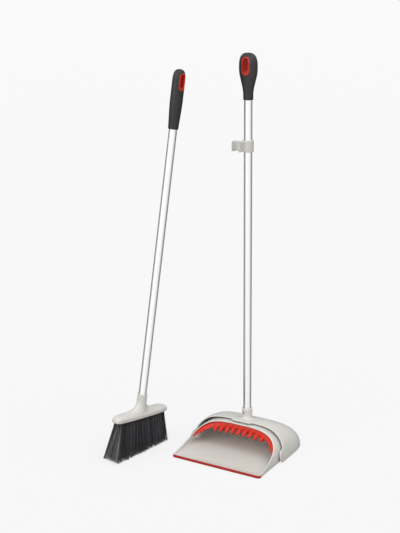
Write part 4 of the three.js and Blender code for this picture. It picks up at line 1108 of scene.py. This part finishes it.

# %% [markdown]
# ## Bristles
#
# Five rows of seventeen tufts. A fibre is a thin three-sided tube that leaves the block upright, bows outwards
# and ends near the floor. Its thickness is a little more than the real one's, so that fewer are needed. Two
# attributes go to the finish: how far along the fibre a point is, and how pale that fibre is. That paleness is
# partly the fibres' own random tone and partly a painted sheen on one side of each tuft.

# %% Fibres
ROWS, TUFTS, FIBRES, JOINTS = 5, 17, 84, 7
TOP_LENGTH, TOP_DEPTH, FLOOR_LENGTH, FLOOR_DEPTH = 155.0, 24.0, 177.0, 54.0
SPREAD = (FLOOR_LENGTH / TOP_LENGTH, FLOOR_DEPTH / TOP_DEPTH)
ROOT_TUFT, TIP_TUFT, TUFT_LEAN = (2.7, 2.2), (4.6, 5.0), (0.6, 0.5)
FIBRE_RADIUS, FIBRE_THINNING, PALE_STRAY, DULL_STRAY = 0.30, 0.16, 2.2, 0.8


def floor_at(x, y):
    """The real floor's height under a point of the leaning broom's own frame."""
    up = BROOM[0][2]
    return -(up[0] * x + up[1] * y) / up[2]


def bristle_row(row):
    """Fibres p(s) = root + (tip - root) s^1.25 sideways and s down, with a random bow sin(pi s)."""
    count = TUFTS * FIBRES
    tuft = np.repeat(np.arange(TUFTS), FIBRES)
    centre_x = TOP_LENGTH * ((tuft + 0.5) / TUFTS - 0.5)
    centre_y = TOP_DEPTH * (row - 2) / ROWS
    angle, reach = random.uniform(0, 2 * np.pi, count), np.sqrt(random.uniform(0, 1, count))
    root_x = HEAD_SHIFT + centre_x + ROOT_TUFT[0] * reach * np.cos(angle)
    root_y = centre_y + ROOT_TUFT[1] * reach * np.sin(angle)
    lean = random.normal(0, 1, (2, TUFTS))[:, tuft]
    tip_x = centre_x * SPREAD[0] + TIP_TUFT[0] * reach * np.cos(angle)
    tip_x = tip_x + random.normal(0, 0.8, count) + TUFT_LEAN[0] * lean[0]
    tip_y = centre_y * SPREAD[1] + TIP_TUFT[1] * reach * np.sin(angle)
    tip_y = tip_y + random.normal(0, 1.0, count) + TUFT_LEAN[1] * lean[1]
    end = smooth(0.80, 1.0, np.abs(centre_x) / 76.0) * np.sign(centre_x)
    stray = random.uniform(0, 1, count) < 0.05 + 0.10 * np.abs(end)
    left = stray * (end < -0.3) * (random.uniform(0, 1, count) < 0.25)
    tip_x += stray * (end * random.uniform(0, 4, count) + random.normal(0, 1.6, count))
    tip_x -= left * random.uniform(2, 13, count)
    tip_y += stray * random.normal(0, 2.5, count)
    tip_z = floor_at(tip_x, tip_y) + 0.3 + np.abs(random.normal(0, 1.6, count))
    tip_z = tip_z + stray * random.uniform(0, 5, count)
    s = np.linspace(0, 1, JOINTS)[:, None]
    side = s**1.25
    bow = np.sin(np.pi * s)
    x = root_x + (tip_x - root_x) * side + bow * random.normal(0, 0.9, count)
    y = root_y + (tip_y - root_y) * side + bow * random.normal(0, 0.8, count)
    z = (HEAD_BOTTOM + 0.2) * (1 - s) + tip_z * s
    spine = np.stack([x, y, z], axis=-1)
    radius = (FIBRE_RADIUS - FIBRE_THINNING * s**3)[..., None, None]
    corner = np.linspace(0, 2 * np.pi, 3, endpoint=False)
    offset = np.stack([np.cos(corner), np.sin(corner), np.zeros(3)], axis=-1)
    points = spine[:, :, None] + radius * offset
    # Painted sheen: the fibres on one side of each tuft are made paler as if lit, and a little random tone is
    # added per fibre.
    painted_sheen = smooth(0.1, 0.9, -np.cos(angle - 0.5)) * random.uniform(0.5, 1.0, TUFTS)[tuft]
    sheen_plus_tone = painted_sheen**1.6 + 0.5 * random.uniform(0, 1, count) ** 4
    return points, np.where(left, PALE_STRAY, np.where(stray, DULL_STRAY, sheen_plus_tone)), s


def bristle_piece(row):
    """One row of fibres as a mesh: each fibre is a three-sided tube with an end."""
    points, pallor_and_sheen, s = bristle_row(row)
    joints, count = points.shape[:2]
    co = points.transpose(1, 0, 2, 3).reshape(-1, 3) * MM @ BROOM[0].T + BROOM[1]
    start = (np.arange(count) * joints * 3)[:, None, None, None]
    j = (np.arange(joints - 1) * 3)[None, :, None, None]
    quad = np.array([[0, 1, 4, 3], [1, 2, 5, 4], [2, 0, 3, 5]])[None, None][..., ::-1]
    faces = (start + j + quad).reshape(-1, 4)
    ends = (np.arange(count) * joints * 3)[:, None] + (joints - 1) * 3 + np.array([0, 2, 1])[None, ::-1]
    tops = (np.arange(count) * joints * 3)[:, None] + np.array([0, 2, 1])
    mesh = bpy.data.meshes.new(f"bristles_{row + 1}")
    mesh.from_pydata(co.tolist(), [], faces.tolist() + ends.tolist() + tops.tolist())
    along, tone_and_sheen = np.repeat(np.tile(s[:, 0], count), 3), np.repeat(pallor_and_sheen, joints * 3)
    for name, value in (("tip", along), ("tone_and_sheen", tone_and_sheen)):
        attribute = mesh.attributes.new(name, "FLOAT", "POINT")
        attribute.data.foreach_set("value", value.astype(np.float32))
    mesh.polygons.foreach_set("use_smooth", np.ones(len(mesh.polygons), bool))
    mesh.materials.append(fibre.material)
    made = bpy.data.objects.new(f"bristles_{row + 1}", mesh)
    bpy.context.collection.objects.link(made)
    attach(made, "broom")
    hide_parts(f"bristle_row_{row + 1}")
    return made


rows = [bristle_piece(row) for row in range(ROWS)]
print("fibres:", ROWS * TUFTS * FIBRES, "faces:", sum(len(r.data.polygons) for r in rows))

# %% [markdown]
# ## What stays from the model
#
# The springs, the grips' cores and the bristle block are seen only from below or not at all. Their packed
# shapes are right, so they keep them and only get a finish.

# %% Finishes for the kept parts
kept = {"pan_snap_spring": steel, "broom_snap_spring": steel, "pan_grip_core": core_plastic,
        "broom_grip_core": core_plastic, "bristle_block": core_plastic}
for node, finish in kept.items():
    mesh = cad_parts[node].data
    mesh.materials.clear()
    mesh.materials.append(finish.material)
print("kept:", ", ".join(kept))

# %% Compare sizes and finish
low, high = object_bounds()
change = [round((b - a) / MM, 1) for a, b in zip([*cad_low, *cad_high], [*low, *high])]
print("visual box differs by", change, "mm")
